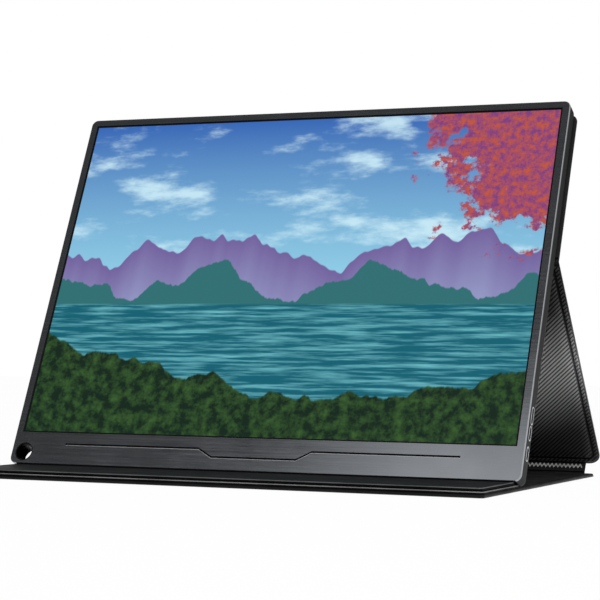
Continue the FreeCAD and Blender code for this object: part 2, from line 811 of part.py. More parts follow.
def make_keys():
    """Power key, menu rocker with its pin, and the three switches that they press."""
    outside = "(-body_width / 2 - key_proud)"
    flange = f"(-{inner_half} + fit_gap)"
    power = new_body("power_button")
    cap = new_sketch(power, outside, "YZ_Plane")
    draw_slot(cap, ("power_place", key_level), "power_length", "key_height")
    add_pad(power, cap, f"{flange} - {outside}")
    rim = new_sketch(power, flange, "YZ_Plane")
    draw_slot(
        rim, ("power_place", key_level),
        "power_length + 2 * flange_rim", "key_height + 2 * flange_rim",
    )
    add_pad(power, rim, "flange_thick")
    plunger = new_sketch(power, f"{flange} + flange_thick", "YZ_Plane")
    draw_circle(plunger, ("power_place", key_level), "plunger_radius")
    add_pad(power, plunger, "rocker_arm_thick - fit_gap")

    rocker = new_body("menu_rocker")
    profile = new_sketch(rocker, f"{key_level} - key_height / 2")
    cap_back = f"({outside} + rocker_cap_thick)"
    arm_back = f"(-{inner_half} + fit_gap + flange_thick + rocker_arm_thick)"
    arm_front = f"({arm_back} - rocker_arm_thick)"
    half = "rocker_length / 2"
    hub = "rocker_hub_half"
    right_side = [
        (outside, half), (cap_back, half), (cap_back, hub), (arm_front, hub),
        (arm_front, "rocker_arm_half"), (arm_back, "rocker_arm_half"), (arm_back, hub),
        (f"{rocker_pivot} + {hub}", hub),
    ]
    upper = [(x, f"rocker_place + {y}") for x, y in right_side]
    lower = [(x, f"rocker_place - {y}") for x, y in reversed(right_side)]
    draw_outline(profile, upper + lower)
    add_pad(rocker, profile, "key_height")
    dress_edges(rocker, "Fillet", "key_height / 2 - pin_gap", lambda edge: (
        near(edge.BoundBox.YMin, edge_of_cap("+")) or near(edge.BoundBox.YMax, edge_of_cap("-"))
    ) and edge.BoundBox.XLength > number("rocker_cap_thick / 2"))
    pivot = new_sketch(rocker, f"{key_level} + key_height / 2")
    draw_circle(pivot, (rocker_pivot, "rocker_place"), "rocker_pin_radius + pin_gap")
    add_pocket(rocker, pivot, "key_height")

    pin = new_body("rocker_pin")
    section = new_sketch(pin, floor_level)
    draw_circle(section, (rocker_pivot, "rocker_place"), "rocker_pin_radius")
    add_pad(pin, section, f"{key_level} + key_height / 2 - {floor_level}")

    switches = new_body("key_switches")
    blocks = new_sketch(switches, board_front)
    places = ("power_place", "rocker_place - switch_pitch / 2", "rocker_place + switch_pitch / 2")
    for place in places:
        draw_rectangle(
            blocks, switch_face, f"{switch_face} + switch_depth",
            f"{place} - switch_width / 2", f"{place} + switch_width / 2",
        )
    add_pad(switches, blocks, "switch_height")


def edge_of_cap(side):
    return f"rocker_place {side} rocker_length / 2"


def make_speakers():
    for label, side in (("speaker_left", -1), ("speaker_right", 1)):
        middle = f"{side} * {speaker_offset}"
        body = make_plate(
            label, f"{middle} - speaker_length / 2", f"{middle} + speaker_length / 2",
            "speaker_foot", "speaker_foot + speaker_width",
            floor_level, f"{floor_level} + speaker_thick",
        )
        cone = new_sketch(body, floor_level)
        draw_slot(
            cone, (middle, "speaker_foot + speaker_width / 2"),
            "speaker_length - 2 * speaker_rim", "speaker_width - 2 * speaker_rim",
        )
        add_pocket(body, cone, "speaker_cone_depth", towards_normal=True)


def make_fixings():
    """Threaded inserts, the corner eyelet and the magnets that hold the cover."""
    inserts = new_body("mount_inserts")
    sleeves = new_sketch(inserts, "-body_depth")
    threads = new_sketch(inserts, "insert_length - body_depth")
    for place in insert_places():
        draw_square(sleeves, place, "insert_half")
        draw_circle(threads, place, "mount_hole_radius")
    add_pad(inserts, sleeves, "insert_length")
    add_pocket(inserts, threads, "insert_length")

    eyelet = new_body("corner_eyelet")
    ring = new_sketch(eyelet, "eyelet_recess - body_depth")
    draw_circle(ring, (hole_x, "hole_from_foot"), "hole_radius + eyelet_wall")
    draw_circle(ring, (hole_x, "hole_from_foot"), "hole_radius")
    add_pad(eyelet, ring, "body_depth - eyelet_recess - fit_gap")

    magnets = new_body("shell_magnets")
    blocks = new_sketch(magnets, floor_level)
    for row in magnet_rows:
        draw_magnet_row(blocks, row)
    add_pad(magnets, blocks, "magnet_thick")


def draw_magnet_row(sketch, row):
    outer = "(body_width / 2 - magnet_from_side)"
    for shift in (f"-{outer}", "0", outer):
        draw_rectangle(
            sketch, f"{shift} - magnet_length / 2", f"{shift} + magnet_length / 2",
            f"{row} - magnet_width / 2", f"{row} + magnet_width / 2",
        )


def make_panel(name, low, high, thick, setbacks, corners, half=cover_half, hem="hem_width"):
    """One folio panel: a skin with a turned hem, and in the hem a stiff board and a lining.

    The skin runs from fold to fold. The hem stands back from each fold by its setback, so
    that two panels can close on each other.
    """
    inner_low, inner_high = f"({low}) + {setbacks[0]}", f"({high}) - {setbacks[1]}"
    skin = new_body(f"{name}_skin")
    layers = (
        ("0", "skin_thick", low, high),
        ("skin_thick", f"{thick} - skin_thick", inner_low, inner_high),
    )
    for level, height, first, last in layers:
        sketch = new_sketch(skin, level)
        if corners:
            draw_rounded_rectangle(sketch, f"-{half}", half, first, last, *corners)
        else:
            draw_rectangle(sketch, f"-{half}", half, first, last)
        add_pad(skin, sketch, height)
    window_low, window_high = f"{inner_low} + {hem}", f"{inner_high} - {hem}"
    window = new_sketch(skin, thick)
    draw_rectangle(window, f"-({half} - hem_width)", f"{half} - hem_width", window_low, window_high)
    add_pocket(skin, window, f"{thick} - skin_thick")
    fill_half = f"({half} - hem_width - fit_gap)"
    fill = (f"-{fill_half}", fill_half, f"{window_low} + fit_gap", f"{window_high} - fit_gap")
    board = make_plate(f"{name}_board", *fill, "skin_thick", f"{thick} - lining_thick")
    lining = make_plate(f"{name}_lining", *fill, f"{thick} - lining_thick", thick)
    return [skin, board, lining]


def make_folio():
    """The four panels, the plates for the magnets and the two layers that the monitor stands behind."""
    panels = {
        "base": make_panel(
            "base", "-base_half_depth", "base_half_depth", "base_thick",
            ("0", "rear_setback"), ("base_corner", "base_corner"), base_half,
        ),
        "spine": make_panel(
            "spine", "0", "spine_length", "spine_thick", ("rear_setback", "foot_setback"),
            None, spine_half, "skin_thick",
        ),
        "leg": make_panel(
            "leg", "0", "leg_length", "leg_thick", ("foot_setback", "fold_setback"),
            ("leg_corner", "fold_corner"),
        ),
        "top": make_panel(
            "top", "0", "body_height - top_margin - fold_height", "top_thick", ("fold_setback", "0"),
            ("fold_corner", "top_corner"),
        ),
    }
    plates = new_body("cover_plates")
    seats = new_sketch(panels["top"][1], "top_thick - lining_thick")
    blocks = new_sketch(plates, "top_thick - lining_thick - plate_thick")
    for row in magnet_rows:
        draw_magnet_row(seats, f"{row} - fold_height")
        draw_magnet_row(blocks, f"{row} - fold_height")
    add_pocket(panels["top"][1], seats, "plate_thick")
    add_pad(plates, blocks, "plate_thick")
    panels["top"].append(plates)

    ledge_level = "base_thick + ledge_thick"
    layers = (
        ("rest_ledge", "ledge_inset", ("base_thick", "seat_foot"), (ledge_level, "seat_middle")),
        ("rest_pad", "pad_inset", (ledge_level, "seat_middle"), (f"{ledge_level} + pad_thick", "seat_top")),
    )
    for label, inset, (low, low_rear), (high, high_rear) in layers:
        layer = new_body(label)
        profile = new_sketch(layer, "0", "YZ_Plane")
        front = f"{inset} - base_half_depth"
        draw_outline(profile, [(front, low), (low_rear, low), (high_rear, high), (front, high)])
        add_pad(layer, profile, f"2 * ({base_half} - {inset})", midplane=True)
        dress_edges(layer, "Fillet", "base_corner", upright_at(high=f"{front} + fit_gap"))
        dress_edges(layer, "Fillet", "pad_edge_round", at_level(high))
        panels["base"].append(layer)
    return panels


def make_fold(label, axis, start_angle, sweep, half):
    """A strip of skin bent round a fold's axis: a sector of a tube along X."""
    rounds = []
    for radius in ("fold_inner_radius + skin_thick", "fold_inner_radius"):
        round_bar = doc.addObject("Part::Cylinder", f"{label}_round")
        round_bar.setExpression("Radius", cell(radius))
        round_bar.setExpression("Height", cell(f"2 * ({half})"))
        round_bar.setExpression("Angle", cell(sweep))
        rounds.append(round_bar)
    strip = doc.addObject("Part::Cut", label)
    strip.Label = label
    strip.Base, strip.Tool = rounds
    doc.recompute()
    lie_along_x = FreeCAD.Rotation(FreeCAD.Vector(1, 1, 1), 120)
    turn = FreeCAD.Rotation(FreeCAD.Vector(1, 0, 0), start_angle)
    end = FreeCAD.Vector(-number(half), axis.y, axis.z)
    strip.Placement = FreeCAD.Placement(end, turn.multiply(lie_along_x))
    sub_parts.append(strip)


def make_folds():
    """The three bent strips of skin: base to spine, spine to leg, and leg to top panel."""
    make_fold("rear_fold", points["rear_axis"], -90, "spine_angle", spine_half)
    make_fold(
        "foot_fold", points["foot_axis"], turns["spine"] - 90,
        "180 - leg_angle - spine_angle", spine_half,
    )
    make_fold(
        "upper_fold", points["top_axis"], turns["monitor"] + 90,
        "180 - leg_angle - lean_angle", f"{cover_half} - fold_corner",
    )


def place(bodies, origin, angle):
    turn = FreeCAD.Rotation(FreeCAD.Vector(1, 0, 0), angle)
    for body in bodies:
        body.Placement = FreeCAD.Placement(origin, turn)


def check_document():
    """Stop if a feature failed, or if a sub-part has no valid shape."""
    doc.recompute()
    for item in doc.Objects:
        if "Invalid" in item.State or "Error" in item.State:
            raise RuntimeError(f"{item.Label} did not build: {item.State}")
    for part in sub_parts:
        if part.Shape.isNull() or not part.Shape.isValid() or not part.Shape.Solids:
            raise RuntimeError(f"{part.Label} has no valid solid")


make_front_frame()
make_rear_shell()
make_display()
make_boards()
make_sockets()
make_keys()
make_speakers()
make_fixings()
place(sub_parts, points["foot"], turns["monitor"])
panels = make_folio()
place(panels["spine"], points["spine"], turns["spine"])
place(panels["leg"], points["leg"], turns["leg"])
place(panels["top"], points["top"], turns["monitor"])
make_folds()
check_document()

os.makedirs("parts", exist_ok=True)
for part in sub_parts:
    part.Shape.exportStep(f"parts/{part.Label}.step")
print(f"{len(sub_parts)} sub-parts, {sum(len(part.Shape.Solids) for part in sub_parts)} solids")
for name, point in points.items():
    print(f"{name}: y {point.y:.3f}, z {point.z:.3f}")
print(f"leg length {leg_length:.2f}, base depth {base_depth:.2f}")
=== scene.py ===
import json
import math

import bmesh
import bpy
import numpy as np
from mathutils import Matrix, Vector


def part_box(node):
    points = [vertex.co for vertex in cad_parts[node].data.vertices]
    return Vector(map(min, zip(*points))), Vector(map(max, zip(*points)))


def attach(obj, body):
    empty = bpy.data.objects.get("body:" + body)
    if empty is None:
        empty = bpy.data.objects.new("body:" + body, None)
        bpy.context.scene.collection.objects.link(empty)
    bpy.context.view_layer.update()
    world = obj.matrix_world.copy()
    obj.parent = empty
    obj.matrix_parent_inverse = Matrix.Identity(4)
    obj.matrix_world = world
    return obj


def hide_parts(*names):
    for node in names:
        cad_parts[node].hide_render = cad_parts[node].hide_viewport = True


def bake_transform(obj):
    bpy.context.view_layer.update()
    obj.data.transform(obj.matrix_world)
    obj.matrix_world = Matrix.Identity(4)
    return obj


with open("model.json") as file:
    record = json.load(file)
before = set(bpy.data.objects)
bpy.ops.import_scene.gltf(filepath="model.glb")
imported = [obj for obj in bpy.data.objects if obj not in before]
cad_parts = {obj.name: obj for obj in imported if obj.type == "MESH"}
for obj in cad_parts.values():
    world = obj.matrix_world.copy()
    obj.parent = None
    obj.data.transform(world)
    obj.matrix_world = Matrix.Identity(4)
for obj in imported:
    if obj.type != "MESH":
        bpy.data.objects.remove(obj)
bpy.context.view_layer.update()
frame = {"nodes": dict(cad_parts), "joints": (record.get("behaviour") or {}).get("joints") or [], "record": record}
print("frame loaded:", len(frame["nodes"]), "nodes")

# The stand's angles up from the table, the skin's bend and the cover's half widths, as the source has them
stand = dict(
    lean=66.0, leg=130.3, spine=60.0, skinInner=0.5, skinOuter=1.4,
    coverHalf=200.3, baseInset=4.2, spineInset=12.5,
)
# The monitor's outside, and how far the mount's centre lies up its back
monitor = dict(width=398.4, height=297.7, depth=15.8, corner=5.0, chamfer=0.45, mountUp=95.0)
mm = 0.001


# Unit vectors of a side view: along a slope, and a quarter turn on from it
def along(angle):
    return np.array([0.0, math.cos(math.radians(angle)), math.sin(math.radians(angle))])


def squareTo(angle):
    return along(angle + 90)


# Local millimetres to row metres: x stays, y runs up the slope, z stands square to it
def toRow(points, origin, angle):
    points = np.asarray(points, float)
    flat = points.reshape(-1, 3)
    turned = flat[:, :1] * [[1.0, 0, 0]] + flat[:, 1:2] * along(angle) + flat[:, 2:] * squareTo(angle)
    return (np.asarray(origin) + turned * mm).reshape(points.shape)


hinge = {joint["name"]: np.array(joint["pos_m"]) for joint in frame["joints"] if "pos_m" in joint}
mounts = {mount["name"]: mount for mount in frame["record"]["mounts"]}
rearAxis = hinge["spine_fold"] * [0, 1, 1]
footAxis = hinge["leg_fold"] * [0, 1, 1]
topAxis = hinge["screen_fold"] * [0, 1, 1]
spineOrigin = rearAxis - squareTo(stand["spine"]) * stand["skinOuter"] * mm
legOrigin = footAxis - squareTo(stand["leg"]) * stand["skinOuter"] * mm
topOrigin = topAxis + squareTo(stand["lean"]) * stand["skinInner"] * mm
legEnd = topAxis + squareTo(stand["leg"]) * stand["skinInner"] * mm
legLength = float((legEnd - legOrigin) @ along(stand["leg"])) / mm
backMount = np.array(mounts["back_mount"]["pos_m"])
mountFoot = backMount - along(stand["lean"]) * monitor["mountUp"] * mm
foot = mountFoot + squareTo(stand["lean"]) * monitor["depth"] * mm
baseHalf = float(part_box("base_skin")[1].y) / mm
print("leg length", round(legLength, 2), "base half depth", round(baseHalf, 2))

# Mesh helpers: the gap in metres under which points are one, and the steps of a corner's and of an edge's arc
weldGap = 0.000001
cornerSteps, edgeSteps = 9, 5


# One object from vertex and face lists, with smooth faces and sharp edges past an angle
def makePiece(name, points, faces, materials, sharp, faceMaterials=None):
    mesh = bpy.data.meshes.new(name)
    mesh.from_pydata(np.asarray(points).reshape(-1, 3).tolist(), [], faces)
    for material in materials:
        mesh.materials.append(material)
    if faceMaterials is not None:
        mesh.polygons.foreach_set("material_index", np.asarray(faceMaterials, np.int32))
    mesh.validate()
    mesh.update()
    mesh.shade_smooth()
    # An end cap has many corners and is shaded flat, in its own plane
    for face in mesh.polygons:
        if len(face.vertices) > 4:
            face.use_smooth = False
    # Points that fall together are merged, so that faces without area go, and faces are turned outwards
    shape = bmesh.new()
    shape.from_mesh(mesh)
    bmesh.ops.remove_doubles(shape, verts=shape.verts, dist=weldGap)
    bmesh.ops.recalc_face_normals(shape, faces=shape.faces)
    shape.to_mesh(mesh)
    shape.free()
    mesh.set_sharp_from_angle(angle=math.radians(sharp))
    piece = bpy.data.objects.new(name, mesh)
    bpy.context.scene.collection.objects.link(piece)
    return piece


# Quads between neighbouring rings of equal length, each ring closed on itself
def ringFaces(ringCount, pointCount, first=0):
    ring = np.arange(ringCount - 1)[:, None] * pointCount
    here = np.arange(pointCount)[None, :]
    there = (here + 1) % pointCount
    quads = np.stack([ring + here, ring + there, ring + pointCount + there, ring + pointCount + here], -1)
    return (quads.reshape(-1, 4) + first).tolist()


# A closed tube: the quads between its rings, then a cap on the first ring and one on the last
def tubeFaces(ringCount, pointCount, first=0):
    last = first + (ringCount - 1) * pointCount
    caps = [list(range(first + pointCount - 1, first - 1, -1)), list(range(last, last + pointCount))]
    return ringFaces(ringCount, pointCount, first) + caps


# Rounded rectangle: four quarter arcs, each centre pulled in by the larger of radius and inset
def roundedRing(half, low, high, corners, inset):
    turn = np.linspace(0, np.pi / 2, cornerSteps)
    sideX = np.array([-1.0, 1.0, 1.0, -1.0])[:, None]
    sideY = np.array([-1.0, -1.0, 1.0, 1.0])[:, None]
    start = np.array([np.pi, 1.5 * np.pi, 0.0, 0.5 * np.pi])[:, None]
    corner = np.array([corners[0], corners[0], corners[1], corners[1]])[:, None]
    pull = np.maximum(corner, inset)
    edgeY = np.where(sideY < 0, low, high)
    reach = np.maximum(corner - inset, 0.0)
    x = sideX * (half - pull) + reach * np.cos(start + turn)
    y = edgeY - sideY * pull + reach * np.sin(start + turn)
    return np.stack([x.ravel(), y.ravel()], -1)


# A closed slab: the rounded outline carried through (inset, height) steps, its high end moved by a shift of the height
def slab(half, low, high, corners, profile, first=0, rearShift=None):
    rings = []
    for inset, height in profile:
        shift = rearShift(height) if rearShift else 0.0
        outline = roundedRing(half, low, high + shift, corners, inset)
        rings.append(np.column_stack([outline, np.full(len(outline), height)]))
    count = len(rings[0])
    return np.concatenate(rings), tubeFaces(len(rings), count, first), len(rings), count


# Quarter-round steps from one face of a slab to the next
def roundStep(radius, insetAt, heightAt, startTurn):
    turn = np.radians(np.linspace(startTurn, startTurn + 90, edgeSteps))
    return [(insetAt - radius * math.cos(t), heightAt + radius * math.sin(t)) for t in turn]


# A groove in a level face, in four steps: down a flank to its flat floor, and up the other flank
def grooveSteps(level, inset, flat, flank, depth):
    floor = level - depth
    return [(inset - flank, level), (inset - flat, floor), (inset + flat, floor), (inset + flank, level)]


# Node helpers: a value goes into a socket as a link if it is a socket, and as the socket's own value if not
def feed(tree, socket, value):
    if isinstance(value, bpy.types.NodeSocket):
        tree.links.new(value, socket)
    else:
        socket.default_value = value


# A new node with its settings and inputs
def put(tree, kind, inputs=None, **settings):
    node = tree.nodes.new(kind)
    for key, value in settings.items():
        setattr(node, key, value)
    for key, value in (inputs or {}).items():
        feed(tree, node.inputs[key], value)
    return node


# One sum of up to three numbers
def sums(tree, operation, a, b=None, c=None):
    values = {index: value for index, value in enumerate((a, b, c)) if value is not None}
    return put(tree, "ShaderNodeMath", values, operation=operation).outputs[0]


# One sum of up to two vectors
def vectors(tree, operation, a, b=None):
    values = {index: value for index, value in enumerate((a, b)) if value is not None}
    return put(tree, "ShaderNodeVectorMath", values, operation=operation).outputs


# A vector times one number
def scaled(tree, vector, factor):
    return put(tree, "ShaderNodeVectorMath", {0: vector, 3: factor}, operation="SCALE").outputs[0]


# A vector times three factors
def stretched(tree, vector, factors):
    return vectors(tree, "MULTIPLY", vector, factors)[0]


# Colour a where the factor is 0 and b where it is 1
def blendColour(tree, factor, a, b):
    return put(tree, "ShaderNodeMix", {0: factor, 6: a, 7: b}, data_type="RGBA").outputs[2]


# A value between low and high, carried over to the span from newLow to newHigh
def spread(tree, value, low, high, newLow=0.0, newHigh=1.0, kind="LINEAR"):
    inputs = {0: value, 1: low, 2: high, 3: newLow, 4: newHigh}
    return put(tree, "ShaderNodeMapRange", inputs, interpolation_type=kind).outputs[0]


# Noise in layers, each layer finer by two and weaker by the roughness
def noise(tree, vector, scale, detail=3.0, rough=0.55):
    inputs = {"Vector": vector, "Scale": scale, "Detail": detail, "Roughness": rough}
    return put(tree, "ShaderNodeTexNoise", inputs).outputs[0]


# A grey of the given value, times a tint
def grey(value, tint=(1.0, 1.0, 1.0)):
    return (value * tint[0], value * tint[1], value * tint[2], 1.0)


# Local millimetres of a leaning frame, from Object coordinates
def localMm(tree, origin=(0, 0, 0), angle=0.0):
    inputs = {
        "Vector": put(tree, "ShaderNodeTexCoord").outputs["Object"],
        "Location": tuple(float(v) for v in origin),
        "Rotation": (math.radians(angle), 0, 0),
        "Scale": (mm, mm, mm),
    }
    return put(tree, "ShaderNodeMapping", inputs, vector_type="TEXTURE").outputs[0]


# Local millimetres of the monitor, from the middle of its front's lower edge
def monitorMm(tree):
    return localMm(tree, foot, stand["lean"])


# An empty node group, with its inputs' starting values
def newGroup(name, inputs, outputs):
    group = bpy.data.node_groups.new(name, "ShaderNodeTree")
    for label, kind, value in inputs:
        socket = group.interface.new_socket(label, in_out="INPUT", socket_type=kind)
        if value is not None:
            socket.default_value = value
    for label, kind in outputs:
        group.interface.new_socket(label, in_out="OUTPUT", socket_type=kind)
    source = group.nodes.new("NodeGroupInput")
    target = group.nodes.new("NodeGroupOutput")
    return group, source.outputs, target.inputs


# A node group placed in a material
def useGroup(tree, group, **inputs):
    return put(tree, "ShaderNodeGroup", inputs, node_tree=group).outputs


# A material with its tree and its shader
def newMaterial(name):
    material = bpy.data.materials.new(name)
    material.use_nodes = True
    tree = material.node_tree
    return material, tree, tree.nodes["Principled BSDF"]


# The shader's sockets by name, each a link or a plain value
def dress(tree, shader, looks):
    for label, value in looks.items():
        feed(tree, shader.inputs[label], value)


# A bump of the given height into the shader's normal
def bumpInto(tree, shader, height, strength, distance):
    node = put(tree, "ShaderNodeBump", {"Height": height, "Strength": strength, "Distance": distance})
    tree.links.new(node.outputs[0], shader.inputs["Normal"])


floatSocket, vectorSocket = "NodeSocketFloat", "NodeSocketVector"
# Most of a noise's values lie between these two
usual = (0.3, 0.7)

# Brush streaks: noise drawn out along x, a fine and a coarse layer added together
streakLook = dict(
    fine=(0.012, 1, 1), fineGrain=(1.0, 4.0, 0.7), fineShare=0.65,
    coarse=(0.01, 0.6, 0.6), coarseGrain=(1.0, 2.0), coarseShare=0.35, cloudGrain=(0.02, 3.0),
)


def buildBrushStreaks():
    look = streakLook
    group, given, out = newGroup(
        "brushStreaks", [("Vector", vectorSocket, None), ("Fineness", floatSocket, 6.0)],
        [("Streak", floatSocket), ("Cloud", floatSocket)],
    )
    finePlace = scaled(group, stretched(group, given["Vector"], look["fine"]), given["Fineness"])
    coarsePlace = stretched(group, given["Vector"], look["coarse"])
    fine = sums(group, "MULTIPLY", noise(group, finePlace, *look["fineGrain"]), look["fineShare"])
    coarse = noise(group, coarsePlace, *look["coarseGrain"])
    group.links.new(sums(group, "MULTIPLY_ADD", coarse, look["coarseShare"], fine), out["Streak"])
    group.links.new(noise(group, given["Vector"], *look["cloudGrain"]), out["Cloud"])
    return group


# Signed distance to a rounded rectangle about a centre: inside is negative
def buildPlateDistance():
    group, given, out = newGroup(
        "plateDistance", [
            ("Vector", vectorSocket, None), ("Half", vectorSocket, None),
            ("Centre", vectorSocket, None), ("Radius", floatSocket, 1.0),
        ], [("Distance", floatSocket)],
    )
    flat = stretched(group, vectors(group, "SUBTRACT", given["Vector"], given["Centre"])[0], (1, 1, 0))
    past = vectors(group, "SUBTRACT", vectors(group, "ABSOLUTE", flat)[0], given["Half"])[0]
    radii = put(group, "ShaderNodeCombineXYZ", {0: given["Radius"], 1: given["Radius"]}).outputs[0]
    past = vectors(group, "ADD", past, radii)[0]
    outside = vectors(group, "LENGTH", vectors(group, "MAXIMUM", past, (0, 0, 0))[0])["Value"]
    parts = put(group, "ShaderNodeSeparateXYZ", {0: past}).outputs
    inside = sums(group, "MINIMUM", sums(group, "MAXIMUM", parts[0], parts[1]), 0.0)
    distance = sums(group, "SUBTRACT", sums(group, "ADD", outside, inside), given["Radius"])
    group.links.new(distance, out["Distance"])
    return group


# Two-over two-under twill: the warp number less the weft number, modulo four, says which is on top
twillShape = dict(cycle=4.0, overTill=1.5, roundness=0.6, gapUnder=0.45)


def buildTwill():
    shape = twillShape
    group, given, out = newGroup(
        "twill", [("Vector", vectorSocket, None), ("Pitch", floatSocket, 1.5)],
        [("Over", floatSocket), ("Height", floatSocket), ("Gap", floatSocket)],
    )
    cells = scaled(group, given["Vector"], sums(group, "DIVIDE", 1.0, given["Pitch"]))
    parts = put(group, "ShaderNodeSeparateXYZ", {0: cells}).outputs
    step = sums(group, "SUBTRACT", sums(group, "FLOOR", parts[0]), sums(group, "FLOOR", parts[1]))
    phase = sums(group, "FLOORED_MODULO", step, shape["cycle"])
    over = sums(group, "LESS_THAN", phase, shape["overTill"])
    warpRound = sums(group, "SINE", sums(group, "MULTIPLY", sums(group, "FRACT", parts[0]), math.pi))
    weftRound = sums(group, "SINE", sums(group, "MULTIPLY", sums(group, "FRACT", parts[1]), math.pi))
    warp = sums(group, "MULTIPLY", warpRound, over)
    weft = sums(group, "MULTIPLY", weftRound, sums(group, "SUBTRACT", 1.0, over))
    height = sums(group, "POWER", sums(group, "ADD", warp, weft), shape["roundness"])
    group.links.new(over, out["Over"])
    group.links.new(height, out["Height"])
    group.links.new(spread(group, height, 0.0, shape["gapUnder"]), out["Gap"])
    return group


# Leather grain: cell borders at two sizes, with slow clouds of rubbed and matt skin
grainShape = dict(large=1.0, small=2.6, smallShare=0.4, rubGrain=(0.03, 4.0))


def buildGrain():
    shape = grainShape
    group, given, out = newGroup(
        "skinGrain", [("Vector", vectorSocket, None), ("Size", floatSocket, 1.0)],
        [("Height", floatSocket), ("Rub", floatSocket)],
    )
    cells = scaled(group, given["Vector"], sums(group, "DIVIDE", 1.0, given["Size"]))
    largeInputs = {"Vector": cells, "Scale": shape["large"]}
    smallInputs = {"Vector": cells, "Scale": shape["small"]}
    large = put(group, "ShaderNodeTexVoronoi", largeInputs, feature="SMOOTH_F1").outputs["Distance"]
    small = put(group, "ShaderNodeTexVoronoi", smallInputs, feature="F1").outputs["Distance"]
    group.links.new(sums(group, "MULTIPLY_ADD", small, shape["smallShare"], large), out["Height"])
    group.links.new(noise(group, given["Vector"], *shape["rubGrain"]), out["Rub"])
    return group


brushStreaks = buildBrushStreaks()
plateDistance = buildPlateDistance()
twillWeave = buildTwill()
skinGrain = buildGrain()

# Brushed anodised metal of the monitor: colour and roughness follow the streaks, and the band within a chamfer's width
# of the front's outer edge can be polished
brushLook = dict(
    dark=0.82, light=1.2, smoother=0.05, rougher=0.07, cloudSpan=(0.35, 0.65), cloudRough=0.02,
    edgeRough=0.22, edgeSlack=0.03, drawnOut=0.5, bump=0.025, bumpDepth=0.00004,
)


def brushedMetal(name, colour, rough, edgeColour=None, fineness=6.0, grazing=1.0):
    look = brushLook
    material, tree, shader = newMaterial(name)
    local = monitorMm(tree)
    streaks = useGroup(tree, brushStreaks, Vector=local, Fineness=fineness)
    base = blendColour(
        tree, spread(tree, streaks["Streak"], *usual), grey(look["dark"], colour), grey(look["light"], colour),
    )
    streakRough = spread(tree, streaks["Streak"], *usual, rough - look["smoother"], rough + look["rougher"])
    cloudRough = spread(tree, streaks["Cloud"], *look["cloudSpan"], -look["cloudRough"], look["cloudRough"])
    roughness = sums(tree, "ADD", streakRough, cloudRough)
    if edgeColour:
        distance = useGroup(
            tree, plateDistance, Vector=local, Radius=monitor["corner"],
            Half=(monitor["width"] / 2, monitor["height"] / 2, 0), Centre=(0, monitor["height"] / 2, 0),
        )["Distance"]
        depth = put(tree, "ShaderNodeSeparateXYZ", {0: local}).outputs[2]
        nearEdge = sums(tree, "GREATER_THAN", distance, -monitor["chamfer"])
        nearFront = sums(tree, "GREATER_THAN", depth, -monitor["chamfer"] - look["edgeSlack"])
        band = sums(tree, "MULTIPLY", nearEdge, nearFront)
        base = blendColour(tree, band, base, edgeColour)
        brushed = sums(tree, "MULTIPLY", roughness, sums(tree, "SUBTRACT", 1.0, band))
        roughness = sums(tree, "MULTIPLY_ADD", band, look["edgeRough"], brushed)
    # The brush runs along x, so the glint is drawn out up the slope
    upSlope = put(
        tree, "ShaderNodeVectorTransform", {0: tuple(along(stand["lean"]))},
        vector_type="VECTOR", convert_from="OBJECT", convert_to="WORLD",
    ).outputs[0]
    dress(tree, shader, {
        "Base Color": base, "Roughness": roughness, "Metallic": 1.0, "Specular Tint": grey(grazing),
        "Tangent": upSlope, "Anisotropic": look["drawnOut"],
    })
    bumpInto(tree, shader, streaks["Streak"], look["bump"], look["bumpDepth"])
    return material


# Plain metal for sockets, screws and inner pieces: faint mottling of colour and roughness by one noise
metalLook = dict(cloudGrain=(0.6, 4.0), dark=0.85, light=1.1, smoother=0.05, rougher=0.08)


def plainMetal(name, colour, rough):
    look = metalLook
    material, tree, shader = newMaterial(name)
    cloud = noise(tree, localMm(tree), *look["cloudGrain"])
    mottle = spread(tree, cloud, *usual)
    dress(tree, shader, {
        "Base Color": blendColour(tree, mottle, grey(look["dark"], colour), grey(look["light"], colour)),
        "Roughness": spread(tree, cloud, *usual, rough - look["smoother"], rough + look["rougher"]),
        "Metallic": 1.0,
    })
    return material


# Moulded plastic: a fine spark texture in roughness and bump, and a slow shade in colour
plasticLook = dict(fineDetail=2.0, slowGrain=(0.08, 2.0), dark=0.8, light=1.2, swing=0.06, bump=0.15, bumpDepth=0.00005)


def mouldedPlastic(name, colour, rough, grainScale=5.0, gloss=0.5):
    look = plasticLook
    material, tree, shader = newMaterial(name)
    local = localMm(tree)
    fine = noise(tree, local, grainScale, look["fineDetail"])
    slow = noise(tree, local, *look["slowGrain"])
    dress(tree, shader, {
        "Base Color": blendColour(tree, slow, grey(look["dark"], colour), grey(look["light"], colour)),
        "Roughness": spread(tree, fine, *usual, rough - look["swing"], rough + look["swing"]),
        "Specular IOR Level": gloss,
    })
    bumpInto(tree, shader, fine, look["bump"], look["bumpDepth"])
    return material


# Coated cover skin: grain in the bump, and rubbed clouds that are lighter and smoother
skinLook = dict(rubSpan=(0.35, 0.7), dark=0.75, light=1.35, swing=0.06, bump=0.25, bumpDepth=0.00008)


def coverSkin(name, colour, rough, size=0.9, gloss=0.22):
    look = skinLook
    material, tree, shader = newMaterial(name)
    grain = useGroup(tree, skinGrain, Vector=localMm(tree), Size=size)
    rub = spread(tree, grain["Rub"], *look["rubSpan"])
    dress(tree, shader, {
        "Base Color": blendColour(tree, rub, grey(look["dark"], colour), grey(look["light"], colour)),
        "Roughness": spread(tree, grain["Rub"], *usual, rough + look["swing"], rough - look["swing"]),
        "Specular IOR Level": gloss,
    })
    bumpInto(tree, shader, grain["Height"], look["bump"], look["bumpDepth"])
    return material


